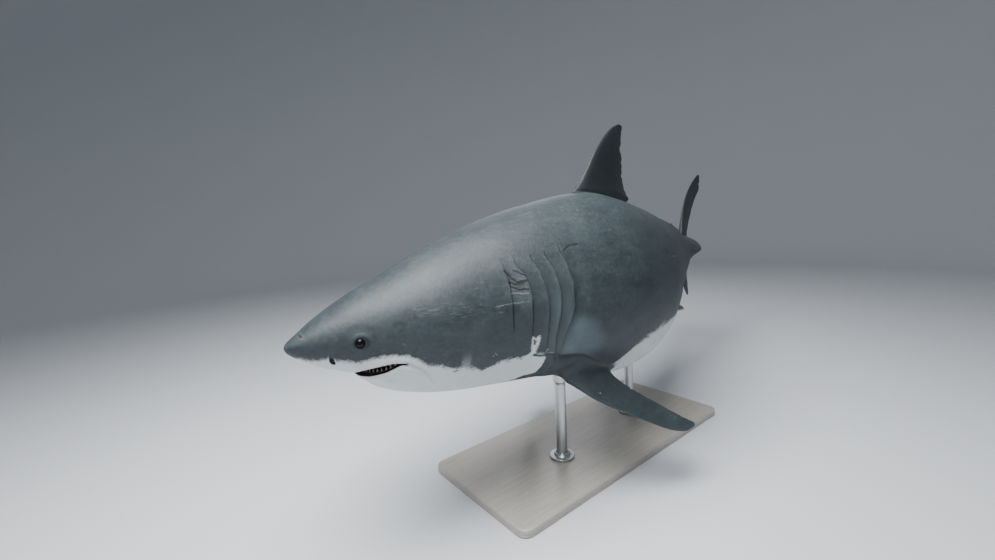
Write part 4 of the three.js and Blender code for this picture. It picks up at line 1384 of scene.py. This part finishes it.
def paint_skin(mesh, points, edges, operands, touched):
    """Store what the skin's material reads: the place on the straightened animal, the height over
    the border, the painted shade of the folds, how much of a fin, and the depth under the pectoral
    crease."""
    station, left, up = straightened(points)
    depth, angle = around_skin(station, left, up)
    degrees = np.degrees(angle)
    groove = fold_shade_of(station, up, angle, depth, ~touched(list(range(1, len(operands) + 1))))
    under_lobe = root_crease_at(station) - up
    flank = (station > 22) & (station < 37) & (degrees < 153)
    crease = np.where(flank, np.clip(under_lobe, -3, 3), -3)
    line = border_of(station, up, degrees, under_lobe)

    share, tip = np.zeros(len(points)), np.zeros(len(points))
    normals = normals_of(mesh)
    for number, (name, part, _, _) in enumerate(operands, 1):
        here = touched([number])
        if part in (LINING, NOSE):
            continue
        share[here] = 1
        if part == DARK_FIN:
            line[here] = 1.2 + 0.25 * (-up[here] - 3) if name == "lower_tail" else 3.0
        elif part == PECTORAL_FIN:
            under = smoothstep(-normals[here][:, 2], -0.05, 0.3)
            behind, out = behind_edge(PECTORAL, station[here], left[here], up[here])
            pale = under * smoothstep(behind, 0.25, 0.8) * smoothstep(out, 0.6, 1.8)
            line[here] = 1.4 - 3.4 * pale
            tip[here] = smoothstep(out, 7.6, 9.2) * under
        else:
            facing = normals[here][:, 2] if name.startswith("pelvic") else 0 * up[here]
            line[here] = 1.6 * facing - 1.2
    share = neighbour_blur(share, edges, 12)
    line = neighbour_blur(line, edges, 3)
    crease = np.where(share > 0.5, np.maximum(crease, 0.8), crease)

    store(mesh, "straight", np.column_stack([station, left, up]) * UNIT, "FLOAT_VECTOR")
    for name, values in (
        ("line", line), ("groove", groove), ("fin", share), ("tip", tip), ("crease", crease),
    ):  # fmt: skip
        store(mesh, name, values)


def build_skin(settings):
    """The body's surface with its fins joined on and its mouth, nostrils and sockets cut out, then
    drawn smooth along the joins and painted with the attributes that its material reads."""
    operands = skin_operands()
    # Each operand has its own material number, which its faces keep.
    slots = [bpy.data.materials.new(f"part {n}") for n in range(len(operands) + 1)]

    def ready(name, points, faces, number):
        made = mesh_object(name, points, faces)
        for held in slots:
            made.data.materials.append(held)
        made.data.polygons.foreach_set("material_index", np.full(len(faces), number))
        return made

    base = ready("skin body", *closed(body_rings(settings.around)), 0)
    others = [
        (ready(name, *surface, number), operation)
        for number, (name, _, surface, operation) in enumerate(operands, 1)
    ]
    mesh = joined(base, others)
    mesh.name = "skin"

    points, edges = mesh_arrays(mesh)
    corners, corner_numbers, numbers = corner_arrays(mesh)

    def touched(wanted):
        """Whether each point is a corner of a face of one of the wanted operands."""
        found = np.zeros(len(points), bool)
        found[corners[np.isin(corner_numbers, wanted)]] = True
        return found

    points = flowing(points, edges, operands, touched, settings)
    mesh.vertices.foreach_set("co", points.ravel())
    mesh.update()
    paint_skin(mesh, points, edges, operands, touched)

    mesh.materials.clear()
    mesh.materials.append(skin_material(settings))
    mesh.materials.append(shaded_lining_material(settings))
    kinds = np.array([BODY_PART, *(part for _, part, _, _ in operands)])
    lined = np.isin(kinds[numbers], (LINING, NOSE))
    mesh.polygons.foreach_set("material_index", lined.astype(np.int32))
    mesh.polygons.foreach_set("use_smooth", np.ones(len(mesh.polygons), bool))
    mesh.update()
    without_folds(mesh)
    for held in slots:
        bpy.data.materials.remove(held)
    skin = bpy.data.objects.new("skin", mesh)
    bpy.context.scene.collection.objects.link(skin)
    return skin


def build_eye(name, sign, settings):
    """A ball of latitude rings round the axis that looks out of the head, with a low dome over the
    iris: radius times one plus a bell curve of the turn from the axis."""
    turn = np.linspace(0.02, math.pi - 0.02, 40)[:, None]
    spin = (np.arange(56) * 2 * math.pi / 56)[None]
    radius = settings.radius * (1 + 0.035 * bell(turn, 0, 0.7))
    centre = eye_centre(sign)
    outward = skin_normal(EYE["station"], EYE["up"], sign)
    aim = Vector(outward).to_track_quat("Z", "Y").to_matrix()
    unit = np.stack(
        [np.sin(turn) * np.cos(spin), np.sin(turn) * np.sin(spin), np.cos(turn) + 0 * spin], -1
    )
    rings = (unit * radius[..., None]) @ np.array(aim).T + centre
    eye = mesh_object(name, *closed(rings))
    turns = np.concatenate([np.repeat(turn.ravel(), 56), [0, math.pi]])
    store(eye.data, "turn", turns)
    eye.data.materials.append(eye_material(settings))
    return eye


def skin_normal(station, up, sign):
    """Outward direction of the plain skin at a height, from two small steps along it."""
    here = body_point(station, sign * half_width_at(station, up), up)
    behind = body_point(station + 0.1, sign * half_width_at(station + 0.1, up), up)
    above = body_point(station, sign * half_width_at(station, up + 0.1), up + 0.1)
    normal = np.cross(behind - here, above - here)
    normal /= np.linalg.norm(normal)
    outside = body_point(station, sign * 20.0, up) - here
    return normal if normal @ outside > 0 else -normal


TOOTH_ARCHES = {
    "upper": {"centre": 9.6, "reach": 3.9, "spread": 4.5, "size": (0.36, 0.3, 0.13), "rise": -1},
    "lower": {"centre": 9.6, "reach": 3.3, "spread": 4.1, "size": (0.26, 0.26, 0.12), "rise": 1},
}
LAST_TOOTH = math.radians(68)


def arch_places(arch, angles, inward=0.0):
    """Station and left along an arch, which is half an ellipse, and its direction there."""
    reach, spread = arch["reach"] - inward, arch["spread"] - inward
    station, left = arch["centre"] - reach * np.cos(angles), spread * np.sin(angles)
    along = np.stack([reach * np.sin(angles), spread * np.cos(angles)], -1)
    return station, left, along / np.linalg.norm(along, axis=-1, keepdims=True)


def lip_of(arch, station):
    """Height of the upper lip for the upper row, and of the lower lip for the lower one."""
    return lip_at(station) - (gap_at(station) if arch["rise"] > 0 else 0)


def tooth_rows(arch, count):
    """Points, faces and point shares of a row of teeth. Rings run from a sunk root to the point.
    A ring is a flattened circle whose width falls as one less the height, with small saw teeth on
    its edges, and whose middle leans back along the row and into the mouth as it rises."""
    width, length, thickness = arch["size"]
    rng = np.random.default_rng(5)
    rise = np.linspace(0, 1, 13)[:, None]
    spin = (np.arange(14) * 2 * math.pi / 14)[None]
    parts, shares = [], []
    for angle in np.linspace(-LAST_TOOTH, LAST_TOOTH, count):
        station, left, along = arch_places(arch, np.array(angle))
        tall = min(length, 0.4 * float(gap_at(station))) * rng.uniform(0.86, 1.0)
        saw = 1 + 0.05 * np.sin(rise * 60) * (rise < 0.95)
        wide = width / 2 * ((1 - rise) ** 0.85 * saw + 0.02)
        thick = thickness / 2 * ((1 - rise) ** 0.7 + 0.04)
        lean = rng.uniform(0.02, 0.1) * width * math.copysign(1, angle + 1e-6) * rise**1.5
        a = wide * np.sign(np.cos(spin)) * np.abs(np.cos(spin)) ** 0.85 + lean
        b = thick * np.sin(spin) - 0.1 * tall * rise
        up = lip_of(arch, station) + arch["rise"] * (rise * (tall + 0.2) - 0.2) + 0 * spin
        points = body_point(
            station + a * along[0] + b * -along[1], left + a * along[1] + b * along[0], up
        )
        made = closed(points)
        parts.append(made)
        shares.append(np.concatenate([np.repeat(rise.ravel(), 14), [0, 1]]))
    return (*several(parts), np.concatenate(shares))


def gum_band(arch):
    """A band behind the lip that the teeth stand in: a flattened circle carried along the arch,
    swollen a little between teeth and closed to a point at its two ends."""
    angles = np.linspace(-LAST_TOOTH - 0.1, LAST_TOOTH + 0.1, 150)[:, None]
    spin = (np.arange(16) * 2 * math.pi / 16)[None]
    station, left, along = arch_places(arch, angles[:, 0], 0.06)
    ends = np.sqrt(np.clip(1 - (angles / (LAST_TOOTH + 0.1)) ** 6, 0.02, 1))
    size = 0.13 * ends * (1 + 0.08 * np.cos(angles * 44))
    b = size * np.sin(spin)
    up = lip_of(arch, station)[:, None] - arch["rise"] * 0.16 + size * 0.9 * np.cos(spin)
    return closed(
        body_point(station[:, None] - b * along[:, 1:], left[:, None] + b * along[:, :1], up)
    )


def rounded_plate(low, high, corner, bevel):
    """A plate as rings of one rounded rectangle, which shrink along a quarter circle at the upper
    edge, in a shallow groove a third of the way up, and in a short chamfer at the lower edge."""
    quarter = np.linspace(0, math.pi / 2, 13)
    turns = np.concatenate([quarter + k * math.pi / 2 for k in range(4)])
    signs = np.array([[1, 1], [-1, 1], [-1, -1], [1, -1]]).repeat(13, axis=0)
    middle, half = (low + high) / 2, (high - low) / 2
    depth = high[2] - low[2]
    edge = np.linspace(0, math.pi / 2, 9)
    foot = [[0.004, 0], [0, 0.004]]
    groove = np.array([[0, 0], [0.002, 0.002], [0.002, 0.005], [0, 0.007]]) + [0, 0.3 * depth]
    round_top = np.column_stack([bevel * (1 - np.cos(edge)), depth - bevel + bevel * np.sin(edge)])
    flat_top = [[bevel + 0.03, depth], [bevel + 0.033, depth - 0.0005]]
    rings = []
    for inset, level in np.vstack([foot, groove, round_top, flat_top]):
        arc = np.column_stack([np.cos(turns), np.sin(turns)]) * (corner - inset)
        plan = middle[:2] + signs * (half[:2] - corner) + arc
        rings.append(np.column_stack([plan, np.full(len(plan), low[2] + level)]))
    return closed(np.array(rings))


def turned(profile, centre, around=64):
    """A solid of revolution: a profile of radius and height carried round an upright axis."""
    profile = np.asarray(profile)
    spin = np.arange(around) * 2 * math.pi / around
    x = centre[0] + profile[:, :1] * np.cos(spin)
    y = centre[1] + profile[:, :1] * np.sin(spin)
    return closed(np.stack([x, y, profile[:, 1:] + 0 * x], -1))


def build_rod(name, node, settings):
    """A rod with a stepped flange on the base and a cup under the belly, turned as one profile."""
    low, high = (np.array(c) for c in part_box(node))
    radius, foot, top = (high[0] - low[0]) / 2, low[2], high[2]
    flange, neck = settings.flange_radius, radius + 0.014
    edge = 0.003
    turns = np.linspace(0, math.pi / 2, 6)

    def rounded(outside, under):
        """A quarter circle from an upright face to a flat one."""
        return [[outside - edge + edge * math.cos(a), under + edge * math.sin(a)] for a in turns]

    profile = [
        [flange - 0.001, foot], [flange, foot + 0.001], *rounded(flange, foot + 0.009),
        [neck + 0.004, foot + 0.012], [neck, foot + 0.0135], [neck, foot + 0.026],
        *rounded(neck, foot + 0.026), [radius, foot + 0.029], [radius, foot + 0.034],
        *([radius, z] for z in np.linspace(foot + 0.06, top - 0.09, 12)),
        [radius, top - 0.075], [radius + 0.002, top - 0.073], [radius + 0.008, top - 0.07],
        [radius + 0.009, top - 0.066], [radius + 0.009, top - 0.03], [radius + 0.009, top + 0.002],
    ]  # fmt: skip
    rod = mesh_object(name, *turned(profile, (low + high) / 2))
    rod.data.materials.append(steel_material(settings))
    return rod


def lamp(name, place, aim, power, size):
    """A square white area lamp that looks at a point."""
    light = bpy.data.lights.new(name, "AREA")
    light.shape, light.size, light.energy = "SQUARE", size, power
    made = bpy.data.objects.new(name, light)
    made.location = place
    made.rotation_euler = (Vector(aim) - Vector(place)).to_track_quat("-Z", "Y").to_euler()
    bpy.context.scene.collection.objects.link(made)


def build_floor(settings):
    """A round floor whose rim bends up into a wall along a quarter circle."""
    bend = np.linspace(0, math.pi / 2, 16)
    profile = [[0.5, 0], [3, 0], [6, 0], [FLOOR_REACH, 0]]
    profile += [
        [FLOOR_REACH + WALL_BEND * math.sin(a), WALL_BEND - WALL_BEND * math.cos(a)] for a in bend
    ]
    profile = np.array([*profile, [FLOOR_REACH + WALL_BEND, 9], [FLOOR_REACH + WALL_BEND, 14]])
    around = 96
    spin = np.arange(around) * 2 * math.pi / around
    x, y = profile[:, :1] * np.cos(spin), profile[:, :1] * np.sin(spin)
    rings = np.stack([x, y, profile[:, 1:] + 0 * x], -1)
    points = np.concatenate([rings.reshape(-1, 3), [[0, 0, 0]]])
    faces = grid_faces(len(profile), around)[:, ::-1].tolist()
    faces += [[k, (k + 1) % around, len(points) - 1] for k in range(around)]
    floor = mesh_object("studio_floor", points, faces)
    floor.data.materials.append(floor_material(settings))


def build_camera(settings):
    """A camera ahead of the animal's left side and a little above it."""
    data = bpy.data.cameras.new("studio camera")
    data.sensor_width, data.lens, data.clip_end = 36.0, settings.lens, 100.0
    camera = bpy.data.objects.new("studio camera", data)
    chest = Vector(body_point(36.0, 0.0, 0.0).tolist())
    forward = Vector(CAMERA_FORWARD).normalized()
    right = forward.cross(Vector(CAMERA_UP)).normalized()
    turn = Matrix((right, right.cross(forward), -forward)).transposed()
    camera.matrix_world = Matrix.Translation(chest + Vector(CAMERA_FROM_CHEST)) @ turn.to_4x4()
    return camera


# ---------------------------------------------------------------- operators


def keep(piece, slot, *nodes):
    """The piece belongs to the model and stands for these solids, which are hidden. The slot is not
    used.
    """
    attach(piece, "root")
    if nodes:
        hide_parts(*nodes)


class SHARK_OT_skin(bpy.types.Operator):
    """Build the skin of the body and fins as one surface"""

    bl_idname = "shark.skin"
    bl_label = "Skin"
    bl_options = {"REGISTER", "UNDO"}

    def execute(self, context):
        keep(build_skin(context.scene.shark_skin), "skin", *FLESH)
        return {"FINISHED"}


class SHARK_OT_eyes(bpy.types.Operator):
    """Build the two eyes"""

    bl_idname = "shark.eyes"
    bl_label = "Eyes"
    bl_options = {"REGISTER", "UNDO"}

    def execute(self, context):
        for side, sign in SIDES:
            eye = build_eye(f"eyeball_{side}", sign, context.scene.shark_eyes)
            keep(eye, "eye", f"eye_{side}")
        return {"FINISHED"}


class SHARK_OT_teeth(bpy.types.Operator):
    """Build the rows of teeth and the gums they stand in"""

    bl_idname = "shark.teeth"
    bl_label = "Teeth and Gums"
    bl_options = {"REGISTER", "UNDO"}

    def execute(self, context):
        settings = context.scene.shark_teeth
        for row, count in (("upper", settings.upper_count), ("lower", settings.lower_count)):
            points, faces, shares = tooth_rows(TOOTH_ARCHES[row], count)
            teeth = mesh_object(f"teeth_{row}", points, faces)
            store(teeth.data, "point", shares)
            teeth.data.materials.append(enamel_material(settings))
            keep(teeth, "pale_skin")
            gums = mesh_object(f"gums_{row}", *gum_band(TOOTH_ARCHES[row]))
            gums.data.materials.append(gum_material(settings))
            keep(gums, "skin")
        return {"FINISHED"}


class SHARK_OT_stand(bpy.types.Operator):
    """Build the lacquered base and its two steel rods"""

    bl_idname = "shark.stand"
    bl_label = "Stand"
    bl_options = {"REGISTER", "UNDO"}

    def execute(self, context):
        settings = context.scene.shark_stand
        low, high = (np.array(c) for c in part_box("stand_base"))
        plate = rounded_plate(low, high, settings.corner, settings.bevel)
        base = mesh_object("base_plate", *plate, smooth=False)
        base.data.materials.append(lacquer_material(settings))
        keep(base, "base", "stand_base")
        for place in ("front", "rear"):
            rod = build_rod(f"rod_{place}", f"stand_rod_{place}", settings)
            keep(rod, "rod", f"stand_rod_{place}")
        return {"FINISHED"}


class SHARK_OT_stage(bpy.types.Operator):
    """Build the floor, lamps and camera"""

    bl_idname = "shark.stage"
    bl_label = "Stage"
    bl_options = {"REGISTER", "UNDO"}

    def execute(self, context):
        settings = context.scene.shark_stage
        build_floor(settings)
        lamp("key lamp", (-2.0, -0.5, 4.6), (0.1, 0.1, 1.0), settings.key_power, 3.2)
        lamp("fill lamp", (-4.6, -3.4, 2.6), (0, 0, 1.0), settings.fill_power, 3.0)
        lamp("back lamp", (3.5, 4.5, 3.5), (0.5, 0.4, 1.2), 1.5 * settings.fill_power, 3.0)
        world = bpy.data.worlds.new("studio")
        world.use_nodes = True
        background = world.node_tree.nodes["Background"]
        background.inputs["Color"].default_value = (0.92, 0.96, 1.0, 1.0)
        background.inputs["Strength"].default_value = 0.24
        context.scene.world = world

        camera = build_camera(settings)
        context.scene.collection.objects.link(camera)
        context.scene.camera = camera
        return {"FINISHED"}


class SHARK_PT_panel(bpy.types.Panel):
    """The pieces of the model and their settings"""

    bl_label = "White Shark Model"
    bl_idname = "SHARK_PT_panel"
    bl_space_type = "VIEW_3D"
    bl_region_type = "UI"
    bl_category = "Shark"

    def draw(self, context):
        for operator, holder in PIECES:
            box = self.layout.box()
            if holder:
                settings = getattr(context.scene, holder)
                for name in settings.__annotations__:
                    box.prop(settings, name)
            box.operator(operator.bl_idname)


PIECES = [
    (SHARK_OT_skin, "shark_skin"),
    (SHARK_OT_eyes, "shark_eyes"),
    (SHARK_OT_teeth, "shark_teeth"),
    (SHARK_OT_stand, "shark_stand"),
    (SHARK_OT_stage, "shark_stage"),
]
SETTINGS = {
    "shark_skin": SharkSkinSettings,
    "shark_eyes": SharkEyeSettings,
    "shark_teeth": SharkTeethSettings,
    "shark_stand": SharkStandSettings,
    "shark_stage": SharkStageSettings,
}
CLASSES = [*SETTINGS.values(), *(operator for operator, _ in PIECES), SHARK_PT_panel]


def register():
    for held in CLASSES:
        bpy.utils.register_class(held)
    for name, held in SETTINGS.items():
        setattr(bpy.types.Scene, name, PointerProperty(type=held))


def unregister():
    for name in SETTINGS:
        delattr(bpy.types.Scene, name)
    for held in reversed(CLASSES):
        bpy.utils.unregister_class(held)


def main():
    register()
    for step in ("skin", "eyes", "teeth", "stand", "stage"):
        getattr(bpy.ops.shark, step)()


if __name__ == "__main__":
    main()
